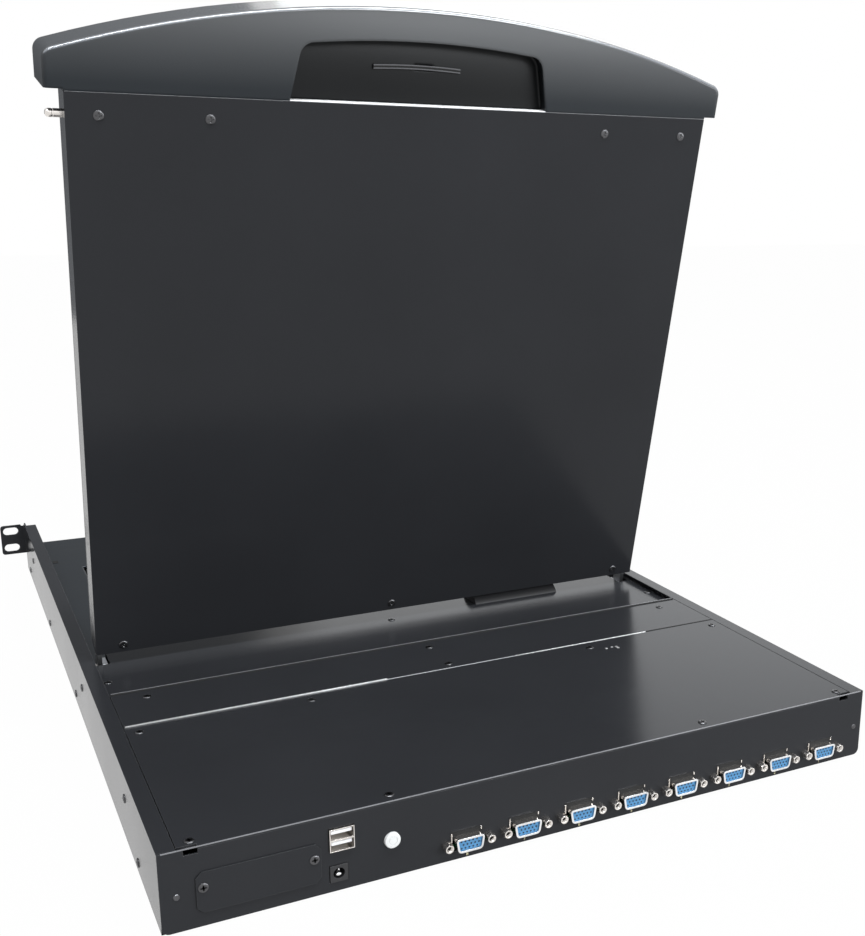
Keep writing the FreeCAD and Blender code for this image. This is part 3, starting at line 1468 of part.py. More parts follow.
def handle():
    """Moulded handle: bowed outer side, finger recess, hollow towards the screen."""
    body = new_body("handle")
    joint = -(lid_end + handle_gap)
    wing = -(lid_end + wing_gap)
    corner = -(lid_end + handle_end)
    form = sketch(body, "XY_Plane", lid_back)
    outline(form, [(-handle_half, corner), (handle_half, corner), (handle_half, wing),
                   (lid_half, wing), (lid_half, joint), (-lid_half, joint),
                   (-lid_half, wing), (-handle_half, wing)], bow=handle_mid - handle_end)
    pad(body, form, handle_thick, backwards=True)
    edge = float(handle_half)
    end = float(wing)
    round_edges(body, handle_corner, lambda side: runs_along(side, Vector(0, 0, 1))
                and abs(abs(side.CenterOfMass.x) - edge) < 0.01
                and side.CenterOfMass.y < end - 1)
    recess = sketch(body, "XY_Plane", lid_back)
    side = -(lid_end + grip_side)
    outline(recess, [(-grip_top, side), (grip_top, side), (grip_half, joint + play),
                     (-grip_half, joint + play)], bow=grip_height - grip_side)
    pocket(body, recess, grip_depth)
    top = float(grip_top)
    round_edges(body, grip_corner, lambda line: runs_along(line, Vector(0, 0, 1))
                and abs(abs(line.CenterOfMass.x) - top) < 0.01)
    hollow = sketch(body, "XY_Plane", lid_back - handle_thick + handle_wall)
    reach = handle_half - handle_wall
    mouth = lid_half - steel * 2
    inner = wing - handle_wall
    outline(hollow, [(-reach, corner + handle_wall), (reach, corner + handle_wall),
                     (reach, inner), (mouth, inner), (mouth, joint + play),
                     (-mouth, joint + play), (-mouth, inner), (-reach, inner)],
            bow=handle_mid - handle_end)
    cavity_top = lid_back - grip_depth - grip_floor
    pocket(body, hollow, cavity_top - (lid_back - handle_thick + handle_wall), backwards=True)
    slit = sketch(body, "XY_Plane", cavity_top - play)
    near = catch_post / 2 + play
    rectangle(slit, (catch_x - near - latch_travel, catch_x + near),
              (catch_y - catch_width / 2 - play, catch_y + catch_width / 2 + play))
    pocket(body, slit, grip_floor + play * 2, backwards=True)
    far = float(joint) - float(handle_end) / 2
    faces = (float(lid_back), float(lid_back - handle_thick))
    round_edges(body, handle_round, lambda line: line.CenterOfMass.y < far
                and min(abs(line.CenterOfMass.z - level) for level in faces) < 0.01
                and line.BoundBox.ZLength < 0.01
                and (line.Length > float(handle_half) or abs(line.CenterOfMass.x) > float(grip_half)))
    return body


# ---------------------------------------------------------------- latch

catch_y = -(lid_end + catch_u)
bracket_x = lid_half - latch_tail
collar_x = lid_half - steel - play - latch_collar / 2


def latch_bracket():
    """Bracket on the screen's back that guides the latch pin's tail."""
    body = new_body("latch_bracket")
    under = lid_back - steel
    lug = sketch(body, "YZ_Plane", bracket_x)
    reach = latch_collar + steel
    rectangle(lug, (latch_y - reach, latch_y + reach), (latch_z - reach, under))
    pad(body, lug, steel * 2)
    foot = sketch(body, "XY_Plane", under)
    rectangle(foot, (bracket_x, collar_x - latch_travel - play), (latch_y - reach, latch_y + reach))
    pad(body, foot, steel, backwards=True)
    drill(body, "YZ_Plane", [(latch_y, latch_z)], latch_radius + play)
    drill(body, "XY_Plane", [(lid_screw_x, -(lid_end - lid_screw_top))], screw_hole)
    return body


def latch_spring():
    """Helical spring between the bracket and the pin's collar."""
    start = bracket_x + steel * 2 + play + spring_wire
    length = float(collar_x - start - play - spring_wire)
    radius = float(spring_radius)
    path = Part.makeHelix(length / spring_turns, length, radius)
    half = float(spring_wire)
    corners = [Vector(radius + half * across, 0, half * up)
               for across, up in ((-1, -1), (1, -1), (1, 1), (-1, 1), (-1, -1))]
    wire = Part.makePolygon(corners)
    spring = doc.addObject("Part::Feature", "spring")
    spring.Shape = Part.Wire(path.Edges).makePipeShell([wire], True, True)
    spring.Placement = Placement(Vector(), TURNS["X"])
    return group([move(spring, (start, latch_y, latch_z))])


def lock_pin():
    """Latch pin with its collar, the rod across the screen and the release catch."""
    inner = bracket_x - play - rod_thick
    pin = rod((inner, latch_y, latch_z), latch_radius, lid_half + latch_standout - inner, "X")
    collar = rod((collar_x, latch_y, latch_z), latch_collar, latch_collar / 2, "X")
    low = latch_z - rod_thick / 2
    across = slab((rod_end, inner + rod_thick), (latch_y - rod_width / 2, latch_y + rod_width / 2),
                  (low, low + rod_thick))
    along = slab((rod_end, rod_end + rod_width), (catch_y - catch_width / 2, latch_y),
                 (low, low + rod_thick))
    floor = lid_back - grip_depth
    post = slab((catch_x - catch_post / 2, catch_x + catch_post / 2),
                (catch_y - catch_width / 2, catch_y + catch_width / 2),
                (low, floor + play + catch_rise / 2))
    arch = slab((catch_x - catch_length / 2, catch_x + catch_length / 2),
                (catch_y - catch_width / 2, catch_y + catch_width / 2),
                (floor + play, floor + play + catch_rise))
    return fuse([pin, collar, across, along, post, arch])


# ---------------------------------------------------------------- assembly

node("side_panel_right", side_panel(True))
node("side_panel_left", mirrored(side_panel(False)))
node("base_pan", base_pan())
node("rear_panel", rear_panel())
node("rear_cover", rear_cover())
node("cover_strip", cover_strip())
node("cross_beam", cross_beam())
node("blank_plate", blank_plate())
node("chassis_screws", chassis_screws())
node("vga_shells", vga_shells())
node("vga_inserts", vga_inserts())
node("vga_jackscrews", jack_screws())
node("usb_shell", data_ports())
node("usb_tongues", data_tongues())
node("power_jack", power_jack())
node("switch_board", switch_board())
node("rear_button", rear_button())

outer_tie = slide_mid + play
inner_tie = slide_mid - slide_wall - play - cage_strip
for name, make in (("slide_outer", slide_outer), ("slide_middle", slide_middle),
                   ("slide_inner", slide_inner)):
    member = make()
    node(f"{name}_right", member)
    node(f"{name}_left", mirrored(member))
for name, height, tie in (("ball_cage_outer", middle_height, outer_tie),
                          ("ball_cage_inner", inner_height, inner_tie)):
    member = ball_cage(height, tie)
    node(f"{name}_right", member)
    node(f"{name}_left", mirrored(member))

node("drawer_tray", drawer_tray())
node("deck", deck())
node("cable_cover", cable_cover())
node("hinge_brackets", hinge_brackets())
node("hinge_pins", hinge_pins())
node("tray_screws", tray_screws())
node("keyboard_housing", keyboard_housing())
node("key_plate", key_plate())
node("touch_pad", touch_pad())
node("click_button_left", click_button(-1))
node("click_button_right", click_button(1))
for row in range(len(ROWS)):
    node(f"key_row_{row + 1}", key_row(row))

lid_node("lid_back_cover", lid_back_cover())
lid_node("lid_front_frame", lid_front_frame())
lid_node("lcd_glass", display_layer(frame_back, glass_thick))
lid_node("lcd_panel", display_layer(frame_back + glass_thick, panel_thick))
lid_node("lcd_board", lcd_board())
lid_node("osd_board", osd_board())
lid_node("hinge_arms", hinge_arms())
lid_node("lid_screws", lid_screws())
lid_node("handle", handle())
lid_node("latch_bracket", latch_bracket())
lid_node("latch_spring", latch_spring())
lid_node("lock_pin", lock_pin())
for step in range(osd_count):
    lid_node(f"osd_button_{step + 1}", osd_button(step))

doc.recompute()

failed = [thing.Name for thing in doc.Objects if {"Invalid", "Error"} & set(thing.State)]
failed += [thing.Label for thing in nodes if thing.Shape.isNull() or not thing.Shape.isValid()]
if failed:
    raise RuntimeError(f"these objects failed: {failed}")

os.makedirs("parts", exist_ok=True)
for thing in nodes:
    thing.Shape.exportStep(f"parts/{thing.Label}.step")
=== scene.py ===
"""Looks of a one-unit rackmount LCD console drawer, laid out as an add-on."""

import json
import math

import bmesh
import bpy
from bpy.props import FloatProperty, FloatVectorProperty, IntProperty, PointerProperty
from mathutils import Matrix, Vector


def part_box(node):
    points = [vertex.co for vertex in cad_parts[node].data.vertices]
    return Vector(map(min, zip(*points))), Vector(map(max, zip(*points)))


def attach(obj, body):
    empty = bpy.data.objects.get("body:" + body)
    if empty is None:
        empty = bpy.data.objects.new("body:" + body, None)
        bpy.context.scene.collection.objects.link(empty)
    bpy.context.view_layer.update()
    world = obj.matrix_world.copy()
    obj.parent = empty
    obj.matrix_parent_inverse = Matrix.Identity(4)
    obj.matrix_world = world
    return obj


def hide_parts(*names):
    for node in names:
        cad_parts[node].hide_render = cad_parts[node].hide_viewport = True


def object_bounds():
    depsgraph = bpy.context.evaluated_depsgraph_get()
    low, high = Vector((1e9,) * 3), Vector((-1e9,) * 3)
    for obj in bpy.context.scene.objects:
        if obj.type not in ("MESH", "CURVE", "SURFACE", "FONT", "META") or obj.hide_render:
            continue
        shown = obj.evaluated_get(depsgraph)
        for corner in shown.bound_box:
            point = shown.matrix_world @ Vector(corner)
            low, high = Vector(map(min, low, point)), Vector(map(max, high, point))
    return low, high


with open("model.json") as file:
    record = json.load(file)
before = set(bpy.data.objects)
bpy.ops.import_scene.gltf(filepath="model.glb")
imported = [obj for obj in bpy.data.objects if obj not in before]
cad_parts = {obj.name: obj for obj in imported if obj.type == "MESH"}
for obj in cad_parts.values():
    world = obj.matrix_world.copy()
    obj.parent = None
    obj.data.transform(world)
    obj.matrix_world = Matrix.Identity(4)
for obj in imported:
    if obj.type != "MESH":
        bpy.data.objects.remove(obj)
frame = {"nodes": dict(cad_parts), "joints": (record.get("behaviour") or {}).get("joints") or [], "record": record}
cad_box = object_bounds()

bl_info = {
    "name": "Console Drawer Looks",
    "version": (1, 0, 0),
    "blender": (4, 5, 0),
    "location": "3D View > Sidebar > Console Drawer",
    "description": "Finishes and fine detail of a rackmount LCD console drawer",
    "category": "Object",
}

MM = 0.001
LAMP_TINT = (0.93, 0.965, 1.0)
CROWN_START = 0.388  # metres from the hinge line at which the handle's back starts to fall away
CROWN_FALL = -3.6
finishes = {}

# ------------------------------------------------------------ places from the frame

slots = {part["node"]: part["material_slot"] for part in frame["record"]["subparts"]}
joints = {joint["name"]: joint for joint in frame["joints"]}
hinge = joints["screen_hinge"]
LID = (Matrix.Translation(Vector(hinge["pos_m"]))
       @ Matrix.Rotation(math.radians(-hinge["range_deg"][0]), 4, Vector(hinge["axis"])))


def islands(node, turn=Matrix()):
    """Lowest and highest corner of each separate solid of a node, in a turned frame."""
    shape = bmesh.new()
    shape.from_mesh(frame["nodes"][node].data)
    bmesh.ops.transform(shape, matrix=turn, verts=shape.verts)
    bmesh.ops.remove_doubles(shape, verts=shape.verts, dist=1e-6)
    left = set(shape.verts)
    found = []
    while left:
        front = [left.pop()]
        solid = list(front)
        while front:
            for edge in front.pop().link_edges:
                for vert in edge.verts:
                    if vert in left:
                        left.discard(vert)
                        front.append(vert)
                        solid.append(vert)
        spans = [[vert.co[axis] for vert in solid] for axis in range(3)]
        found.append((Vector(map(min, spans)), Vector(map(max, spans))))
    shape.free()
    return sorted(found, key=lambda box: tuple(box[0]))


# ------------------------------------------------------------ settings


class DrawerSizes(bpy.types.PropertyGroup):
    """Sizes of the fine detail."""

    edge_radius: FloatProperty(name="Edge Radius", default=0.35 * MM, unit="LENGTH",
                               description="Rounding seen on folded and moulded edges")
    recess_reach: FloatProperty(name="Screw Recess", default=0.56, subtype="FACTOR",
                                description="Reach of the cross recess over the head's radius")
    contact_radius: FloatProperty(name="Contact Hole", default=0.62 * MM, unit="LENGTH",
                                  description="Radius of a contact hole in a display port")
    contact_pitch: FloatProperty(name="Contact Pitch", default=2.29 * MM, unit="LENGTH",
                                 description="Distance between contact holes in a row")
    row_pitch: FloatProperty(name="Contact Rows", default=1.98 * MM, unit="LENGTH",
                             description="Distance between the rows of contact holes")
    number_height: FloatProperty(name="Port Numbers", default=2.0 * MM, unit="LENGTH",
                                 description="Height of the printed port numbers")
    number_drop: FloatProperty(name="Number Drop", default=8.5 * MM, unit="LENGTH",
                               description="Port numbers below the middle of their port")
    key_corner: FloatProperty(name="Key Corner", default=0.9 * MM, unit="LENGTH",
                              description="Rounding of a key's edges")
    key_dish: FloatProperty(name="Key Dish", default=0.35 * MM, unit="LENGTH",
                            description="Depth of the hollow in a key's top")
    thread_turns: IntProperty(name="Thread Turns", default=4,
                              description="Thread crests seen inside a jack screw")


class DrawerFinishes(bpy.types.PropertyGroup):
    """Colours and gloss."""

    paint: FloatVectorProperty(name="Paint", subtype="COLOR", default=(0.0208, 0.0216, 0.0240),
                               description="Powder coat of the steel")
    paint_roughness: FloatProperty(name="Paint Roughness", default=0.18, subtype="FACTOR",
                                   description="Roughness of the powder coat")
    handle: FloatVectorProperty(name="Handle", subtype="COLOR", default=(0.0155, 0.0188, 0.0222),
                                description="Moulding of the handle")
    moulding: FloatVectorProperty(name="Moulding", subtype="COLOR", default=(0.021, 0.021, 0.0225),
                                  description="Keyboard housing and display frame")
    keys: FloatVectorProperty(name="Keys", subtype="COLOR", default=(0.024, 0.024, 0.026),
                              description="Key caps")
    insert: FloatVectorProperty(name="Port Insert", subtype="COLOR", default=(0.083, 0.260, 0.486),
                                description="Moulded inserts of the display ports")
    print: FloatVectorProperty(name="Print", subtype="COLOR", default=(0.72, 0.66, 0.42),
                               description="Printed port numbers")


class DrawerStage(bpy.types.PropertyGroup):
    """Camera and light."""

    place: FloatVectorProperty(name="Camera", subtype="TRANSLATION", precision=6,
                               default=(0.297934, 0.856350, 0.351587),
                               description="Place of the camera")
    turn: FloatVectorProperty(name="Camera Turn", subtype="EULER",
                              default=tuple(map(math.radians, (75.2044, -0.5982, 152.4671))),
                              description="Turn of the camera")
    lens: FloatProperty(name="Lens", default=45.899, description="Focal length in millimetres")
    shift: FloatVectorProperty(name="Shift", size=2, default=(-0.10805, 0.04081),
                               description="Shift of the camera's view")
    backdrop: FloatProperty(name="Room Light", default=0.5,
                            description="Strength of the room's light on the object")


# ------------------------------------------------------------ shaders


class Signal:
    """A value on its way between nodes; arithmetic on it adds Math nodes."""

    def __init__(self, finish, socket):
        self.finish = finish
        self.socket = socket

    def maths(self, operation, first, second):
        return self.finish.node("ShaderNodeMath", {"operation": operation},
                                {0: first, 1: second})

    def __add__(self, other):
        return self.maths("ADD", self, other)

    def __sub__(self, other):
        return self.maths("SUBTRACT", self, other)

    def __rsub__(self, other):
        return self.maths("SUBTRACT", other, self)

    def __mul__(self, other):
        return self.maths("MULTIPLY", self, other)

    __radd__ = __add__
    __rmul__ = __mul__

    def over(self, low, high):
        """Stretch a range to 0..1 and clamp it."""
        return self.finish.node("ShaderNodeMapRange", {"clamp": True},
                                {"Value": self, "From Min": low, "From Max": high})


class Finish:
    """A procedural material under construction."""

    def __init__(self, name, owner=None):
        self.material = owner or bpy.data.materials.new(name)
        self.material.use_nodes = True
        self.tree = self.material.node_tree
        self.tree.nodes.clear()
        finishes[name] = self

    def node(self, kind, settings=None, sockets=None, output=0):
        """Add a node: its settings first, then values or links into its sockets."""
        made = self.tree.nodes.new(kind)
        for name, value in (settings or {}).items():
            if name == "stops":
                ramp = made.color_ramp.elements
                while len(ramp) < len(value):
                    ramp.new(1.0)
                for element, (position, colour) in zip(ramp, value):
                    element.position = position
                    element.color = colour
            else:
                setattr(made, name, value)
        for name, value in (sockets or {}).items():
            if isinstance(value, Signal):
                self.tree.links.new(value.socket, made.inputs[name])
            else:
                made.inputs[name].default_value = value
        return Signal(self, made.outputs[output]) if made.outputs else None

    def place(self):
        return self.node("ShaderNodeTexCoord", output="Object")

    def noise(self, scale, detail=2.0, stretch=(1, 1, 1)):
        at = self.node("ShaderNodeMapping", {}, {"Vector": self.place(), "Scale": stretch})
        return self.node("ShaderNodeTexNoise", {}, {"Vector": at, "Scale": scale,
                                                     "Detail": detail})

    def blend(self, amount, first, second):
        """Mix two colours by an amount."""
        return self.node("ShaderNodeMix", {"data_type": "RGBA", "clamp_factor": True},
                         {0: amount, 6: first, 7: second}, output=2)

    def soft_edges(self, radius):
        """Normals as if the edges were rounded."""
        return self.node("ShaderNodeBevel", {"samples": 6}, {"Radius": radius})

    def edge_mask(self, soft):
        """Near 1 along outer and inner edges, 0 on flat faces."""
        flat = self.node("ShaderNodeNewGeometry", output="Normal")
        along = self.node("ShaderNodeVectorMath", {"operation": "DOT_PRODUCT"},
                          {0: soft, 1: flat}, output="Value")
        return (1.0 - along).over(0.02, 0.3)

    def facing_band(self, soft, direction, low, high):
        """1 where the rounded normals lean away from a direction by a middling amount."""
        lean = self.node("ShaderNodeVectorMath", {"operation": "DOT_PRODUCT"},
                         {0: soft, 1: direction}, output="Value")
        return lean.over(low - 0.1, low) * (1.0 - lean.over(high, high + 0.1))

    def bump(self, height, distance, strength, normal=None):
        sockets = {"Height": height, "Distance": distance, "Strength": strength}
        if normal:
            sockets["Normal"] = normal
        return self.node("ShaderNodeBump", {}, sockets)

    def seen(self):
        """1 for the rays that show a thing to the camera, by itself or in another."""
        rays = [self.node("ShaderNodeLightPath", output=name)
                for name in ("Is Camera Ray", "Is Glossy Ray", "Is Transmission Ray")]
        return (rays[0] + rays[1] + rays[2]).over(0, 1)

    def surface(self, **sockets):
        """Close the material with the one shader that every finish here uses."""
        named = {name.replace("_", " "): value for name, value in sockets.items()}
        shader = self.node("ShaderNodeBsdfPrincipled", {}, named)
        self.node("ShaderNodeOutputMaterial", {}, {"Surface": shader})
        return self


def rgba(colour, factor=1.0):
    return (*(channel * factor for channel in colour), 1.0)


def grey(level):
    return (level, level, level, 1.0)


def powder_coat(name, colour, roughness, edge):
    """Satin powder coat: fine orange peel, faint clouding, edges lightened a little as wear and painted highlight.
    """
    finish = Finish(name)
    peel = finish.noise(1100, 2)
    cloud = finish.noise(9, 4)
    grit = finish.noise(4200, 1)
    soft = finish.soft_edges(edge)
    wear_and_highlight = finish.edge_mask(soft) * (0.5 + finish.noise(60, 5).over(0.35, 0.7) * 0.5)
    base = finish.blend(cloud, rgba(colour, 0.85), rgba(colour, 1.2))
    base = finish.blend(grit.over(0.62, 0.8) * 0.35, base, rgba(colour, 2.4))
    # painted highlight and wear: edges blended towards pale grey
    base = finish.blend(wear_and_highlight * 0.6, base, grey(0.16))
    return finish.surface(
        Base_Color=base,
        Roughness=roughness + (cloud - 0.5) * 0.1 + (peel - 0.5) * 0.08 - wear_and_highlight * 0.06,
        Specular_IOR_Level=0.13,
        Normal=finish.bump(peel * 0.7 + grit * 0.3, 0.00006, 0.35, soft),
    )


def lid_direction(direction):
    """One of the raised screen's own directions, in the frame's axes."""
    return LID.to_3x3() @ Vector(direction)


def lid_distance(finish, direction):
    """Distance from the hinge line along one of the raised screen's own directions."""
    along = lid_direction(direction)
    reach = finish.node("ShaderNodeVectorMath", {"operation": "DOT_PRODUCT"},
                        {0: finish.place(), 1: along}, output="Value")
    return reach - along.dot(Vector(hinge["pos_m"]))


def crown(finish, normal):
    """Normals of the handle's back, which falls away towards its ridge."""
    beyond = finish.node("ShaderNodeMath", {"operation": "MAXIMUM"},
                         {0: lid_distance(finish, (0, -1, 0)) - CROWN_START, 1: 0.0})
    return finish.bump(beyond * beyond * CROWN_FALL, 1.0, 1.0, normal)


def finger_recess(finish):
    """1 over the handle's finger recess, and 1 inside it, in turn; the second is where the recess is darkened as
    painted shade.

    Neither has a lower bound in depth, so both also cover the moulding in front of the recess.
    """
    deep = 1.0 - lid_distance(finish, (0, 0, 1)).over(0.0088, 0.0102)
    across = finish.node("ShaderNodeMath", {"operation": "ABSOLUTE"},
                         {0: lid_distance(finish, (1, 0, 0))})
    inside = 1.0 - across.over(0.0865, 0.0875)
    area = inside * (1.0 - lid_distance(finish, (0, -1, 0)).over(0.4185, 0.4195))
    return area, area * deep


def moulded(name, colour, roughness, edge, grain=1500):
    """Injection moulding with a fine spark texture and edges lightened as painted highlight; the handle's has a
    coat, a painted highlight along its ridge and painted shade in its finger recess.
    """
    finish = Finish(name)
    spark = finish.noise(grain, 3)
    flow = finish.noise(7, 3, (1, 3, 1))
    soft = finish.soft_edges(edge)
    edge_highlight = finish.edge_mask(soft)
    base = finish.blend(flow, rgba(colour, 0.88), rgba(colour, 1.14))
    # painted highlight: edges blended towards a paler tone
    base = finish.blend(edge_highlight * 0.25, base, rgba(colour, 1.8))
    gloss = roughness + (flow - 0.5) * 0.12 + (spark - 0.5) * 0.1 - edge_highlight * 0.08
    coat = 0.0
    if name == "slate_plastic":
        area, recess = finger_recess(finish)
        # painted shade: the inside of the finger recess darkened to a fifth of the colour
        base = finish.blend(recess, base, rgba(colour, 0.2))
        # painted highlight: a band along the rounded ridge of the handle's back
        ridge = finish.facing_band(soft, lid_direction((0, 0, 1)), 0.56, 0.86)
        ridge = ridge * (1.0 - area)
        outer = lid_distance(finish, (0, -1, 0)).over(0.385, 0.43) * (1.0 - recess)
        ridge = ridge * finish.facing_band(soft, lid_direction((0, -1, 0)), 0.4, 1.0)
        coat = outer + ridge
        gloss = gloss - ridge * 0.25
        # painted highlight: the ridge band blended half way to a pale blue-grey
        base = finish.blend(ridge * 0.5, base, (0.3, 0.32, 0.36, 1.0))
        soft = crown(finish, soft)
    return finish.surface(
        Base_Color=base,
        Roughness=gloss,
        Specular_IOR_Level=0.22 if name == "slate_plastic" else 0.4,
        Coat_Weight=coat,
        Coat_Roughness=0.16,
        Coat_IOR=1.8,
        Normal=finish.bump(spark, 0.00007, 0.4, soft),
    )


def plated(name, colour, roughness, edge, brushed=(1, 1, 1)):
    """Plated metal with faint tarnish and handling marks."""
    finish = Finish(name)
    marks = finish.noise(700, 4, brushed)
    tarnish = finish.noise(45, 5)
    soft = finish.soft_edges(edge)
    base = finish.blend(tarnish.over(0.35, 0.75), rgba(colour), rgba(colour, 0.72))
    return finish.surface(
        Base_Color=base,
        Metallic=1.0,
        Roughness=roughness + (tarnish - 0.5) * 0.16 + (marks - 0.5) * 0.1,
        Normal=finish.bump(marks, 0.00003, 0.3, soft),
    )


def circuit_board(name):
    """Green solder mask over tracks, with bare pads."""
    finish = Finish(name)
    tracks = finish.node("ShaderNodeTexBrick", {"offset": 0.37},
                         {"Vector": finish.place(), "Scale": 90.0, "Mortar Size": 0.06,
                          "Mortar Smooth": 0.2, "Row Height": 0.5}, output="Fac")
    pads = finish.node("ShaderNodeTexVoronoi", {}, {"Vector": finish.place(), "Scale": 220.0})
    bare = 1.0 - pads.over(0.16, 0.2)
    base = finish.blend(tracks, (0.006, 0.075, 0.03, 1), (0.02, 0.16, 0.07, 1))
    base = finish.blend(bare * 0.9, base, (0.55, 0.5, 0.38, 1))
    return finish.surface(
        Base_Color=base,
        Roughness=0.3 + bare * 0.12,
        Normal=finish.bump(tracks + bare, 0.0001, 0.5),
    )


def display_glass(name):
    """Dark display under a smooth front with a trace of dust."""
    finish = Finish(name)
    dust = finish.noise(240, 6)
    haze = finish.noise(4, 2)
    return finish.surface(
        Base_Color=finish.blend(dust.over(0.66, 0.85) * 0.3, (0.006, 0.0065, 0.009, 1),
                                grey(0.05)),
        Roughness=0.07 + haze * 0.08 + dust.over(0.6, 0.8) * 0.1,
    )


def make_finishes():
    sizes = bpy.context.scene.drawer_sizes
    looks = bpy.context.scene.drawer_finishes
    edge = sizes.edge_radius
    powder_coat("coated_steel", looks.paint, looks.paint_roughness, edge)
    moulded("slate_plastic", looks.handle, 0.36, edge * 6)
    moulded("black_plastic", looks.moulding, 0.48, edge)
    moulded("key_plastic", looks.keys, 0.44, edge, 2200)
    moulded("port_blue", looks.insert, 0.42, edge / 3)
    moulded("button_white", (0.72, 0.72, 0.71), 0.35, edge)
    plated("nickel", (0.86, 0.82, 0.78), 0.24, edge / 3)
    plated("zinc_steel", (0.66, 0.67, 0.69), 0.36, edge, (1, 30, 1))
    plated("screw_black", (0.12, 0.12, 0.125), 0.3, edge / 3)
    # bright metal of the power contacts, also standing for painted highlights on seams, port rims and cover marks
    plated("bare_edge", (0.9, 0.9, 0.9), 0.42, edge / 2)
    circuit_board("board_green")
    display_glass("display_glass")
    # black parts, and painted shade in holes, gaps, seams and over the display ports
    moulded("hole_dark", (0.004, 0.004, 0.004), 0.7, edge / 3)
    moulded("print_paint", looks.print, 0.6, edge / 5, 3000)
    # pale plastic of the USB tongues, and painted highlight across the finger recess
    moulded("pale_seal", (0.93, 0.93, 0.93), 0.5, edge / 2)
    # painted highlight along the joint under the handle and along the cover's tongue
    moulded("joint_grey", (0.6, 0.6, 0.62), 0.5, edge / 5)
    # painted highlight on the lips of the release bar
    moulded("rail_grey", (0.1, 0.1, 0.105), 0.4, edge / 3)
    # painted highlight along the cover strip's seam and the rear crease
    moulded("crease_grey", (0.2, 0.2, 0.21), 0.4, edge / 5)


# ------------------------------------------------------------ shaping


def piece(name, shape, body, kinds, replaced=()):
    """Make an object of a bmesh, give it its finishes and let it ride a body."""
    mesh = bpy.data.meshes.new(name)
    shape.to_mesh(mesh)
    shape.free()
    mesh.shade_smooth()
    mesh.set_sharp_from_angle(angle=math.radians(32))
    for kind in kinds:
        mesh.materials.append(finishes[kind].material)
    made = bpy.data.objects.new(name, mesh)
    bpy.context.scene.collection.objects.link(made)
    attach(made, body)
    kinds[0] if kinds[0] in slots.values() else "black_plastic"
    if replaced:
        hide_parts(*replaced)
    return made


def template(shape):
    """Keep a finished shape for stamping."""
    mesh = bpy.data.meshes.new("template")
    bmesh.ops.recalc_face_normals(shape, faces=shape.faces)
    shape.to_mesh(mesh)
    shape.free()
    return mesh


def stamp(shape, pattern, place):
    """Add a copy of a kept shape at a place."""
    known = len(shape.verts)
    shape.from_mesh(pattern)
    shape.verts.ensure_lookup_table()
    bmesh.ops.transform(shape, matrix=place, verts=shape.verts[known:])


def stamped(name, pattern, places, body, kinds, replaced=()):
    shape = bmesh.new()
    for place in places:
        stamp(shape, pattern, place)
    bpy.data.meshes.remove(pattern)
    return piece(name, shape, body, kinds, replaced)


def add(shape, part, place=Matrix()):
    """Add a finished part to a shape."""
    pattern = template(part)
    stamp(shape, pattern, place)
    bpy.data.meshes.remove(pattern)


def soften(shape, offset):
    """Round every edge a little."""
    bmesh.ops.bevel(shape, geom=shape.edges, offset=offset, segments=2, profile=0.5,
                    affect="EDGES", material=-1)


def grow(shape, loop, scale, rise):
    """Extrude a loop of edges, scale it about the Z axis and lift it; the new loop."""
    made = bmesh.ops.extrude_edge_only(shape, edges=loop)["geom"]
    verts = [thing for thing in made if isinstance(thing, bmesh.types.BMVert)]
    bmesh.ops.scale(shape, verts=verts, vec=(scale, scale, 1))
    bmesh.ops.translate(shape, verts=verts, vec=(0, 0, rise))
    known = set(verts)
    return [thing for thing in made
            if isinstance(thing, bmesh.types.BMEdge) and set(thing.verts) <= known]


def ring(shape, sides, radius, height):
    verts = bmesh.ops.create_circle(shape, segments=sides, radius=radius,
                                    matrix=Matrix.Translation((0, 0, height)))["verts"]
    return list({edge for vert in verts for edge in vert.link_edges})


def button(shape, radius, top, rise):
    """A low round head, drawn on Z = 0."""
    loop = grow(shape, ring(shape, 20, radius, 0), top, rise)
    loop = grow(shape, loop, 0.5, 0.15 * MM)
    bmesh.ops.contextual_create(shape, geom=loop)


def block(shape, low, high):
    """A block between two corners; its vertices."""
    low, high = Vector(low), Vector(high)
    place = Matrix.Translation((low + high) / 2) @ Matrix.Diagonal((*(high - low), 1))
    return bmesh.ops.create_cube(shape, size=1, matrix=place)["verts"]


def facing(at, direction):
    """A matrix that puts a piece drawn along +Z at a point, facing a direction."""
    return Matrix.Translation(at) @ Vector(direction).to_track_quat("Z", "Y").to_matrix().to_4x4()


def crosshead(radius, rise, reach):
    """Pan head with a cross recess, drawn on Z = 0."""
    shape = bmesh.new()
    arm = radius * reach
    half = radius * 0.13
    quarter = [(arm, -half), (arm, half), (half, half)]
    verts = []
    for turn in range(4):
        spin = Matrix.Rotation(math.pi / 2 * turn, 3, "Z")
        verts += [shape.verts.new(spin @ Vector((x, y, rise))) for x, y in quarter]
    recess = shape.faces.new(verts)
    bmesh.ops.subdivide_edges(shape, edges=recess.edges, cuts=1)
    shape.faces.ensure_lookup_table()
    recess = shape.faces[0]
    outer = ring(shape, 24, radius * 0.72, rise)
    bmesh.ops.bridge_loops(shape, edges=list(recess.edges) + outer)
    loop = grow(shape, outer, 1.24, -rise * 0.18)
    loop = grow(shape, loop, 1.12, -rise * 0.4)
    grow(shape, loop, 1.0, -rise * 0.42)
    sunk = bmesh.ops.extrude_face_region(shape, geom=[recess])["geom"]
    floor = [thing for thing in sunk if isinstance(thing, bmesh.types.BMVert)]
    bmesh.ops.scale(shape, verts=floor, vec=(0.75, 0.75, 1))
    bmesh.ops.translate(shape, verts=floor, vec=(0, 0, -rise * 0.75))
    if recess.is_valid:
        bmesh.ops.delete(shape, geom=[recess], context="FACES_ONLY")
    return template(shape)


# ------------------------------------------------------------ operators


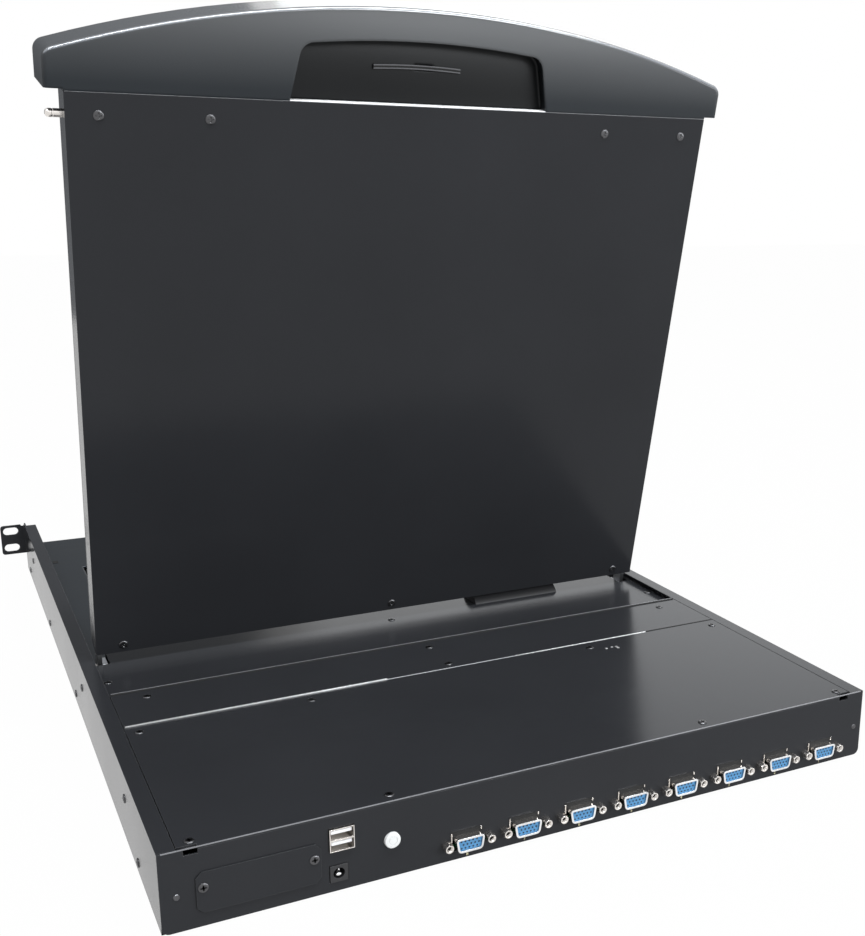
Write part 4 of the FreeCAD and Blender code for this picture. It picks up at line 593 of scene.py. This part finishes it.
class DRAWER_OT_camera(bpy.types.Operator):
    """Camera at the reference view."""

    bl_idname = "drawer.camera"
    bl_label = "Camera"

    def execute(self, context):
        stage = context.scene.drawer_stage
        data = bpy.data.cameras.new("camera")
        data.lens = stage.lens
        data.shift_x, data.shift_y = stage.shift
        data.clip_start = 0.01
        camera = bpy.data.objects.new("camera", data)
        camera.location = stage.place
        camera.rotation_euler = stage.turn
        context.scene.collection.objects.link(camera)
        context.scene.camera = camera
        return {"FINISHED"}


class DRAWER_OT_stage(bpy.types.Operator):
    """Pale floor, white room and soft lamps."""

    bl_idname = "drawer.stage"
    bl_label = "Stage"

    lamps = (
        # name, place, aim, width, height, watts
        ("key", (-1.15, 2.4, 1.12), (0, 0.12, 0.42), 0.9, 0.7, 32.0),
        ("softbox", (0.3, 2.6, 1.3), (0, 0.1, 0.2), 2.6, 1.0, 4.0),
        ("strip", (-0.1, 0.75, 1.95), (0, 0.12, 0.3), 2.6, 0.22, 47.0),
        ("side", (-2.2, 1.8, 0.35), (-0.1, 0.3, 0.0), 1.2, 0.7, 18.0),
        ("front", (-1.3, -1.9, 1.0), (0, 0, 0.1), 1.6, 0.9, 4.0),
    )

    def execute(self, context):
        context.scene.view_settings.view_transform = "Standard"
        self.room(context)
        self.floor()
        self.flag()
        for name, place, aim, width, height, watts in self.lamps:
            data = bpy.data.lights.new(name, "AREA")
            data.shape = "RECTANGLE"
            data.size, data.size_y = width, height
            data.energy = watts
            data.color = LAMP_TINT
            lamp = bpy.data.objects.new(name, data)
            lamp.location = place
            away = Vector(place) - Vector(aim)
            lamp.rotation_euler = away.to_track_quat("Z", "Y").to_euler()
            context.scene.collection.objects.link(lamp)
        return {"FINISHED"}

    def sheet(self, name, size, place=Matrix()):
        """A flat square of the stage."""
        shape = bmesh.new()
        bmesh.ops.create_grid(shape, x_segments=1, y_segments=1, size=size, matrix=place)
        mesh = bpy.data.meshes.new(name)
        shape.to_mesh(mesh)
        shape.free()
        made = bpy.data.objects.new(name, mesh)
        bpy.context.scene.collection.objects.link(made)
        return made

    def flag(self):
        """Grey card beside the backdrop, seen in reflections alone."""
        turn = Matrix.Rotation(math.pi / 2, 4, "X")
        flag = self.sheet("flag", 0.5, Matrix.Translation((1.0, -1.9, 1.0)) @ turn
                          @ Matrix.Diagonal((2.8, 1.85, 1, 1)))
        for ray in ("camera", "diffuse", "shadow", "transmission"):
            setattr(flag, f"visible_{ray}", False)
        card = Finish("grey_card")
        cloth = card.node("ShaderNodeEmission", {}, {"Color": (0.25, 0.26, 0.275, 1.0)})
        card.node("ShaderNodeOutputMaterial", {}, {"Surface": cloth})
        flag.data.materials.append(card.material)

    def room(self, context):
        room = Finish("room", bpy.data.worlds.new("room"))
        context.scene.world = room.material
        shown = room.seen()
        low = context.scene.drawer_stage.backdrop
        light = room.node("ShaderNodeBackground", {},
                          {"Color": grey(1.0), "Strength": shown * (1 - low) + low})
        room.node("ShaderNodeOutputWorld", {}, {"Surface": light})

    def floor(self):
        """Pale floor just under the drawer, white to the camera but for the shadow."""
        floor = self.sheet("floor", 6)
        floor.location.z = cad_box[0][2] - 0.5 * MM
        pale = Finish("pale_floor")
        shown = pale.seen()
        matt = pale.node("ShaderNodeBsdfDiffuse", {}, {"Color": grey(0.5)})
        white = pale.node("ShaderNodeEmission", {}, {"Color": grey(1.0)})
        both = pale.node("ShaderNodeMixShader", {}, {0: shown * 0.985, 1: matt, 2: white})
        pale.node("ShaderNodeOutputMaterial", {}, {"Surface": both})
        floor.data.materials.append(pale.material)


class DRAWER_OT_finishes(bpy.types.Operator):
    """Procedural finishes on every part of the frame."""

    bl_idname = "drawer.finishes"
    bl_label = "Finishes"

    def execute(self, context):
        make_finishes()
        for name, thing in frame["nodes"].items():
            # USB tongues take the pale finish in place of their slot's: pale plastic and painted highlight
            kind = {"usb_tongues": "pale_seal"}.get(name, slots[name])
            for slot in thing.material_slots:
                slot.material = finishes[kind].material
        return {"FINISHED"}


class DRAWER_OT_screws(bpy.types.Operator):
    """Cross-recess screws of the chassis, the drawer and the screen."""

    bl_idname = "drawer.screws"
    bl_label = "Screws"

    def execute(self, context):
        reach = context.scene.drawer_sizes.recess_reach
        for node, body, inward in (("chassis_screws", "chassis", False),
                                   ("tray_screws", "drawer", True)):
            places = []
            for low, high in islands(node):
                spans = [top - bottom for bottom, top in zip(low, high)]
                axis = spans.index(min(spans))
                middle = (low + high) / 2
                sign = 1 if axis == 2 or middle[axis] > 0 else -1
                if inward and axis == 0:
                    sign = -sign
                direction = Vector([sign if index == axis else 0 for index in range(3)])
                rise = 0.7 * MM
                end = high[axis] if sign > 0 else low[axis]
                at = middle.copy()
                at[axis] = end - sign * rise
                places.append(facing(at, direction))
            stamped(f"{node}_heads", crosshead(2.6 * MM, 0.7 * MM, reach), places, body,
                    ["screw_black"], [node])
        places = []
        for low, high in islands("lid_screws", LID.inverted()):
            middle = (low + high) / 2
            at = Vector((middle.x, middle.y, high.z - 0.7 * MM))
            places.append(LID @ facing(at, (0, 0, 1)))
        stamped("lid_screws_heads", crosshead(2.9 * MM, 0.7 * MM, reach), places, "screen",
                ["screw_black"], ["lid_screws"])
        return {"FINISHED"}


class DRAWER_OT_port_contacts(bpy.types.Operator):
    """Contact holes of the display ports, three rows of five."""

    bl_idname = "drawer.port_contacts"
    bl_label = "Port Contacts"

    def execute(self, context):
        sizes = context.scene.drawer_sizes
        shape = bmesh.new()
        rim = ring(shape, 8, sizes.contact_radius * 1.25, 0)
        lip = grow(shape, rim, 0.95, 0.1 * MM)
        edge = grow(shape, lip, 0.84, 0)
        inner = grow(shape, edge, 0.9, -0.08 * MM)
        bmesh.ops.contextual_create(shape, geom=inner)
        # the floor of each shallow hole is black, painted shade of a deep contact hole
        for face in shape.faces:
            face.material_index = 0 if len(face.verts) > 4 else 1
        hole = template(shape)
        places = []
        for low, high in islands("vga_inserts"):
            middle = (low + high) / 2
            for row in (-1, 0, 1):
                stagger = 0.25 if row else -0.25
                for step in range(-2, 3):
                    across = (step + stagger) * sizes.contact_pitch
                    at = Vector((middle.x + across, high.y, middle.z + row * sizes.row_pitch))
                    places.append(facing(at, (0, 1, 0)))
        stamped("port_contacts", hole, places, "chassis", ["hole_dark", "port_blue"])
        return {"FINISHED"}


class DRAWER_OT_jack_screws(bpy.types.Operator):
    """Hexagonal jack screws with a chamfered end and a threaded bore."""

    bl_idname = "drawer.jack_screws"
    bl_label = "Jack Screws"

    def execute(self, context):
        turns = context.scene.drawer_sizes.thread_turns
        solids = islands("vga_jackscrews")
        low, high = solids[0]
        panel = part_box("rear_panel")[1][1]
        length = high.y - panel
        radius = (high.x - low.x) / 2
        shape = bmesh.new()
        loop = ring(shape, 6, radius, 0)
        bmesh.ops.subdivide_edges(shape, edges=loop, cuts=3)
        loop = list(shape.edges)
        loop = grow(shape, loop, 1.0, length - 0.7 * MM)
        collar = ring(shape, 24, radius * 0.84, length)
        bmesh.ops.bridge_loops(shape, edges=loop + collar)
        loop = grow(shape, collar, 0.74, 0)
        loop = grow(shape, loop, 0.86, -0.3 * MM)
        for turn in range(turns):
            loop = grow(shape, loop, 1.12, -0.2 * MM)
            loop = grow(shape, loop, 1 / 1.12, -0.2 * MM)
        bmesh.ops.contextual_create(shape, geom=loop)
        # the bore's floor is black, painted shade inside the threaded hole
        for face in shape.faces:
            face.material_index = 1 if len(face.verts) > 8 else 0
        post = template(shape)
        places = [facing(Vector(((low.x + high.x) / 2, panel, (low.z + high.z) / 2)), (0, 1, 0))
                  for low, high in solids]
        stamped("jack_screws", post, places, "chassis", ["nickel", "hole_dark"],
                ["vga_jackscrews"])
        return {"FINISHED"}


class DRAWER_OT_port_numbers(bpy.types.Operator):
    """Plain printed numbers under the display ports."""

    bl_idname = "drawer.port_numbers"
    bl_label = "Port Numbers"

    def execute(self, context):
        sizes = context.scene.drawer_sizes
        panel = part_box("rear_panel")[1][1]
        shape = bmesh.new()
        for number, (low, high) in enumerate(islands("vga_shells"), 1):
            words = bpy.data.curves.new("number", "FONT")
            words.body = str(number)
            words.align_x = "CENTER"
            words.align_y = "CENTER"
            words.size = sizes.number_height * 1.4
            words.extrude = 0.02 * MM
            holder = bpy.data.objects.new("number", words)
            context.scene.collection.objects.link(holder)
            context.view_layer.update()
            mesh = bpy.data.meshes.new_from_object(holder)
            at = Vector(((low.x + high.x) / 2, panel + 0.02 * MM,
                         (low.z + high.z) / 2 - sizes.number_drop))
            turn = Matrix.Rotation(math.pi, 4, "Z") @ Matrix.Rotation(math.pi / 2, 4, "X")
            stamp(shape, mesh, Matrix.Translation(at) @ turn)
            bpy.data.objects.remove(holder)
            bpy.data.meshes.remove(mesh)
            bpy.data.curves.remove(words)
        piece("port_numbers", shape, "chassis", ["print_paint"])
        return {"FINISHED"}


class DRAWER_OT_rear_button(bpy.types.Operator):
    """Round push button with a softly domed cap."""

    bl_idname = "drawer.rear_button"
    bl_label = "Rear Button"

    def execute(self, context):
        low, high = (Vector(corner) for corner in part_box("rear_button"))
        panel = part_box("rear_panel")[1][1]
        radius = 4.4 * MM
        middle = (low + high) / 2
        shape = bmesh.new()
        back = ring(shape, 40, radius, low.y - panel)
        loop = grow(shape, back, 1.0, high.y - low.y - 0.8 * MM)
        loop = grow(shape, loop, 0.97, 0.45 * MM)
        loop = grow(shape, loop, 0.93, 0.22 * MM)
        for scale, rise in ((0.62, 0.1), (0.97, -0.22), (0.86, 0.0), (0.97, 0.22)):
            loop = grow(shape, loop, scale, rise * MM)
        bmesh.ops.contextual_create(shape, geom=loop)
        bmesh.ops.contextual_create(shape, geom=back)
        cap = template(shape)
        stamped("button_cap", cap, [facing(Vector((middle.x, panel, middle.z)), (0, 1, 0))],
                "rear_button", ["button_white"], ["rear_button"])
        return {"FINISHED"}


class DRAWER_OT_keys(bpy.types.Operator):
    """Key caps with drawn-in sides, soft edges and a hollow in the top."""

    bl_idname = "drawer.keys"
    bl_label = "Keys"

    def execute(self, context):
        sizes = context.scene.drawer_sizes
        for row in range(1, 7):
            node = f"key_row_{row}"
            shape = bmesh.new()
            for low, high in islands(node):
                foot = high.z - 4.2 * MM
                self.cap(shape, Vector((low.x, low.y, foot)), high, sizes)
                middle = (low + high) / 2
                half = Vector((2.5, 2.5, 0)) * MM
                block(shape, Vector((middle.x, middle.y, low.z)) - half,
                      Vector((middle.x, middle.y, foot + 0.4 * MM)) + half)
            piece(f"{node}_caps", shape, node, ["key_plastic"], [node])
        return {"FINISHED"}

    def cap(self, shape, low, high, sizes):
        part = bmesh.new()
        block(part, low, high)
        middle = (low + high) / 2
        top = [vert for vert in part.verts if vert.co.z > middle.z]
        for vert in top:
            for axis in (0, 1):
                vert.co[axis] += (1.9 * MM) * (1 if vert.co[axis] < middle[axis] else -1)
        edges = [edge for edge in part.edges if max(vert.co.z for vert in edge.verts) > middle.z]
        bmesh.ops.bevel(part, geom=edges, offset=sizes.key_corner, offset_type="OFFSET",
                        segments=3, profile=0.5, affect="EDGES", material=-1)
        face = max(part.faces, key=lambda side: side.calc_center_median().z)
        for share in (0.16, 0.28):
            bmesh.ops.inset_region(part, faces=[face], thickness=share * (high.y - low.y) / 2,
                                   use_even_offset=True)
            bmesh.ops.translate(part, verts=face.verts, vec=(0, 0, -sizes.key_dish / 2))
        add(shape, part)


class DRAWER_OT_screen_trim(bpy.types.Operator):
    """Painted highlight along the joint under the handle, thicker and paler across the finger recess."""

    bl_idname = "drawer.screen_trim"
    bl_label = "Screen Trim"

    def execute(self, context):
        low, high = islands("lid_back_cover", LID.inverted())[0]
        # both strips are painted highlights along the joint
        for name, half, thick, top, kind in (
                ("recess_joint_highlight", 85 * MM, 0.6 * MM, 0.4 * MM, "pale_seal"),
                ("joint_highlight_line", -low.x - 0.6 * MM, 0.4 * MM, 0.3 * MM, "joint_grey")):
            strip = bmesh.new()
            block(strip, (-half, low.y - thick, high.z - 7.6 * MM), (half, low.y, high.z - top))
            soften(strip, thick * 0.3)
            bmesh.ops.transform(strip, matrix=LID, verts=strip.verts)
            piece(name, strip, "screen", [kind])
        return {"FINISHED"}


class DRAWER_OT_seams(bpy.types.Operator):
    """Painted highlights along the edges and painted shade in the gaps of the seams of the top covers, and a
    painted highlight along the rear crease.
    """

    bl_idname = "drawer.seams"
    bl_label = "Seams"

    def execute(self, context):
        tongue = 46.5 * MM
        side = 210 * MM
        shade = 152 * MM
        crease = 218.5 * MM
        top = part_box("rear_cover")[1][2]
        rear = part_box("rear_panel")[1][1]
        front = rear - 150.5 * MM
        back = front - MM
        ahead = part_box("cover_strip")[0][1]
        # pale rows are painted highlights along edges and the crease, black rows are painted shade in the gaps
        for name, low, high, rise, kind in (
                ("seam_wide_highlight", (tongue, back), (side, front), 0.75, "bare_edge"),
                ("seam_tongue_highlight", (-tongue, front - 0.5 * MM), (tongue, front), 0.12, "joint_grey"),
                ("seam_shade", (-side, back), (-shade, front), 0.25, "hole_dark"),
                ("seam_far_highlight", (-shade, back + 0.4 * MM), (-tongue, front), 0.3, "bare_edge"),
                ("seam_groove_shade", (-side, ahead), (side, ahead + 2.2 * MM), 0.45, "hole_dark"),
                ("seam_strip_highlight", (-side, ahead - 0.1 * MM), (side, ahead + 0.4 * MM), 0.6,
                 "crease_grey"),
                ("seam_rear_highlight", (-crease, rear - 0.45 * MM), (crease, rear + 0.06 * MM), 0.06,
                 "crease_grey")):
            edge = bmesh.new()
            block(edge, (*low, top - 0.5 * MM), (*high, top + rise * MM))
            soften(edge, 0.05 * MM)
            piece(name, edge, "chassis", [kind])
        return {"FINISHED"}


class DRAWER_OT_port_windows(bpy.types.Operator):
    """Painted shade over the display ports, the ends of their flanges, and their rims with painted highlight."""

    bl_idname = "drawer.port_windows"
    bl_label = "Port Windows"

    def execute(self, context):
        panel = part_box("rear_panel")[1][1]
        dark = bmesh.new()
        ends = bmesh.new()
        rims = bmesh.new()
        for low, high in islands("vga_shells"):
            x, z = (low.x + high.x) / 2, (low.z + high.z) / 2
            self.rim(rims, x, high.y, z)
            # painted shade: a black plate above each shell, from the left jack screw to past the shell's end
            block(dark, (x - 9.4 * MM, panel - 0.1 * MM, z + 1.5 * MM),
                  (x + 9.7 * MM, panel + 0.12 * MM, z + 6.7 * MM))
            for start, end, foot, head in ((8.9, 9.6, 0.5, 5.9), (-8.7, -8.1, 4.7, 6.4)):
                block(ends, (x + start * MM, panel, z + foot * MM),
                      (x + end * MM, panel + 0.35 * MM, z + head * MM))
        piece("port_window_shade", dark, "chassis", ["hole_dark"])
        piece("port_flanges", ends, "chassis", ["nickel"])
        piece("port_rims", rims, "chassis", ["bare_edge"])
        return {"FINISHED"}

    def rim(self, shape, x, front, z):
        """Rolled edge round the mouth of a port's shell, bright metal made wider and brighter as painted
        highlight.
        """
        part = bmesh.new()
        corners = ((8.55, 4.25), (7.15, -4.25), (-7.15, -4.25), (-8.55, 4.25))
        part.faces.new([part.verts.new((x + across * MM, front - 0.4 * MM, z + up * MM))
                        for across, up in corners])
        bmesh.ops.bevel(part, geom=part.verts, offset=2.0 * MM, segments=4, profile=0.5,
                        affect="VERTICES", material=-1)
        bmesh.ops.inset_region(part, faces=part.faces[:], thickness=1.1 * MM, use_boundary=True,
                               use_even_offset=True)
        inner = max(part.faces, key=lambda face: len(face.verts))
        bmesh.ops.delete(part, geom=[inner], context="FACES")
        made = bmesh.ops.extrude_face_region(part, geom=part.faces[:])["geom"]
        moved = [thing for thing in made if isinstance(thing, bmesh.types.BMVert)]
        bmesh.ops.translate(part, verts=moved, vec=(0, 0.5 * MM, 0))
        add(shape, part)


class DRAWER_OT_power_contacts(bpy.types.Operator):
    """Centre pin and spring contact of the power jack."""

    bl_idname = "drawer.power_contacts"
    bl_label = "Power Contacts"

    def execute(self, context):
        low, high = (Vector(corner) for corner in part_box("power_jack"))
        middle = (low + high) / 2
        shape = bmesh.new()
        for up, radius, wide in ((-1.0, 0.85, 1.8), (1.9, 0.5, 1.0)):
            part = bmesh.new()
            button(part, radius * MM, 0.8, 0.3 * MM)
            bmesh.ops.scale(part, verts=part.verts, vec=(wide, 1, 1))
            at = Vector((middle.x, high.y - 0.9 * MM, middle.z + up * MM))
            add(shape, part, facing(at, (0, 1, 0)))
        piece("power_contacts", shape, "chassis", ["bare_edge"])
        return {"FINISHED"}


class DRAWER_OT_fixings(bpy.types.Operator):
    """Rivets of the rear panel, bright marks on the rear cover and the catch's plate."""

    bl_idname = "drawer.fixings"
    bl_label = "Fixings"

    def execute(self, context):
        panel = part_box("rear_panel")[1][1]
        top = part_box("rear_cover")[1][2]
        turn = Matrix.Rotation(-math.pi / 2, 4, "X")
        rivets = bmesh.new()
        for x, z in ((-214.8, 20.1), (212.4, 19.2)):
            rivet = bmesh.new()
            button(rivet, 1.7 * MM, 0.85, 0.35 * MM)
            add(rivets, rivet, Matrix.Translation((x * MM, panel, z * MM)) @ turn)
        piece("rear_rivets", rivets, "chassis", ["screw_black"])
        # three small bright metal marks raised on the rear cover
        white_marks = bmesh.new()
        for x, y, wide, deep in ((-109.8, 190.8, 0.8, 1.6), (-114.6, 190.2, 0.8, 1.3),
                                 (-117.8, 192.0, 0.9, 4.2)):
            block(white_marks, ((x - wide) * MM, (y - deep / 2) * MM, top - 0.1 * MM),
                  ((x + wide) * MM, (y + deep / 2) * MM, top + 0.18 * MM))
        piece("cover_white_marks", white_marks, "chassis", ["bare_edge"])
        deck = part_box("deck")[1]
        at = Vector((deck[0] - 4 * MM, -0.197, deck[2]))
        plate = bmesh.new()
        block(plate, at - Vector((2.2, 3, 0.3)) * MM, at + Vector((2.2, 3, 0.12)) * MM)
        piece("catch_plate", plate, "drawer", ["hole_dark"])
        return {"FINISHED"}


class DRAWER_OT_latch(bpy.types.Operator):
    """Round-nosed latch pin, its rod inside the screen and the arched release bar."""

    bl_idname = "drawer.latch"
    bl_label = "Latch"

    def execute(self, context):
        low, high = islands("lock_pin", LID.inverted())[0]
        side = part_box("lid_back_cover")[1][0]
        radius = 2.4 * MM
        axis = Vector((0, low.y + 36.5 * MM, 0.5 * MM))
        shape = bmesh.new()
        self.pin(shape, axis, side, high.x, radius)
        rod = 1.4 * MM
        block(shape, (3 * MM, axis.y - 3.5 * MM, axis.z - rod / 2),
              (side - 23.3 * MM, axis.y + 3.5 * MM, axis.z + rod / 2))
        block(shape, (3 * MM, low.y + 0.1 * MM, axis.z - rod / 2),
              (10 * MM, axis.y, axis.z + rod / 2))
        block(shape, (1.9 * MM, low.y + 0.1 * MM, axis.z - rod / 2),
              (4.9 * MM, low.y + 2.5 * MM, high.z - rod / 2))
        bmesh.ops.transform(shape, matrix=LID, verts=shape.verts)
        piece("latch_pin", shape, "latch", ["nickel"], ["lock_pin"])
        # the two grey strips along the dark bar are painted highlights on its lips
        for name, start, end, depth, kind in (
                ("release_bar", 0.0, 2.6, 0.45, "hole_dark"),
                ("release_lip_highlight_outer", 0.0, 0.75, 0.0, "rail_grey"),
                ("release_lip_highlight_inner", 1.9, 2.6, 0.0, "rail_grey")):
            bar = bmesh.new()
            self.bar(bar, low.y + start * MM, low.y + end * MM, high.z - 1.4 * MM,
                     high.z - depth * MM)
            bmesh.ops.transform(bar, matrix=LID, verts=bar.verts)
            piece(name, bar, "latch", [kind])
        return {"FINISHED"}

    def pin(self, shape, axis, side, tip, radius):
        """Pin along X: tail, collar inside the screen's wall, groove and round nose."""
        start = side - 24.7 * MM
        along = facing(Vector((start, axis.y, axis.z)), (1, 0, 0))
        part = bmesh.new()
        tail = ring(part, 32, radius, 0)
        length = tip - start
        loop = grow(part, tail, 1.0, length - 14 * MM)
        for scale, rise in ((1.62, 0), (1.0, 1.9), (1 / 1.62, 0), (1.0, 7.6), (0.94, 0.2),
                            (1.0, 0.5), (1 / 0.94, 0.2), (1.0, 1.5), (0.9, 0.9), (0.72, 0.7),
                            (0.45, 0.35)):
            loop = grow(part, loop, scale, rise * MM)
        bmesh.ops.contextual_create(part, geom=loop)
        bmesh.ops.contextual_create(part, geom=tail)
        add(shape, part, along)

    def bar(self, shape, outer, inner, bottom, top):
        """A thin bar across the recess, bowed towards the ridge."""
        half = 28.5 * MM
        middle = 3.4 * MM
        block(shape, (middle - half, outer, bottom), (middle + half, inner, top))
        bmesh.ops.subdivide_edges(shape, edges=[edge for edge in shape.edges
                                                if edge.calc_length() > half],
                                  cuts=20, use_grid_fill=True)
        for vert in shape.verts:
            share = (vert.co.x - middle) / half
            vert.co.y += share * share * 0.9 * MM


operators = (
    DRAWER_OT_camera,
    DRAWER_OT_stage,
    DRAWER_OT_finishes,
    DRAWER_OT_screws,
    DRAWER_OT_port_contacts,
    DRAWER_OT_jack_screws,
    DRAWER_OT_port_numbers,
    DRAWER_OT_rear_button,
    DRAWER_OT_keys,
    DRAWER_OT_screen_trim,
    DRAWER_OT_seams,
    DRAWER_OT_port_windows,
    DRAWER_OT_power_contacts,
    DRAWER_OT_fixings,
    DRAWER_OT_latch,
)


class DRAWER_PT_panel(bpy.types.Panel):
    """The drawer's settings and operators."""

    bl_label = "Console Drawer"
    bl_idname = "DRAWER_PT_panel"
    bl_space_type = "VIEW_3D"
    bl_region_type = "UI"
    bl_category = "Console Drawer"

    def draw(self, context):
        for settings in (context.scene.drawer_sizes, context.scene.drawer_finishes,
                         context.scene.drawer_stage):
            column = self.layout.column()
            for name in settings.__annotations__:
                column.prop(settings, name)
        for operator in operators:
            self.layout.operator(operator.bl_idname)


groups = {"drawer_sizes": DrawerSizes, "drawer_finishes": DrawerFinishes,
          "drawer_stage": DrawerStage}


def register():
    for kind in (*groups.values(), *operators, DRAWER_PT_panel):
        bpy.utils.register_class(kind)
    for name, kind in groups.items():
        setattr(bpy.types.Scene, name, PointerProperty(type=kind))


def unregister():
    for name in groups:
        delattr(bpy.types.Scene, name)
    for kind in (DRAWER_PT_panel, *reversed(operators), *groups.values()):
        bpy.utils.unregister_class(kind)


def main():
    register()
    for operator in operators:
        family, name = operator.bl_idname.split(".")
        getattr(getattr(bpy.ops, family), name)()


if __name__ == "__main__":
    main()
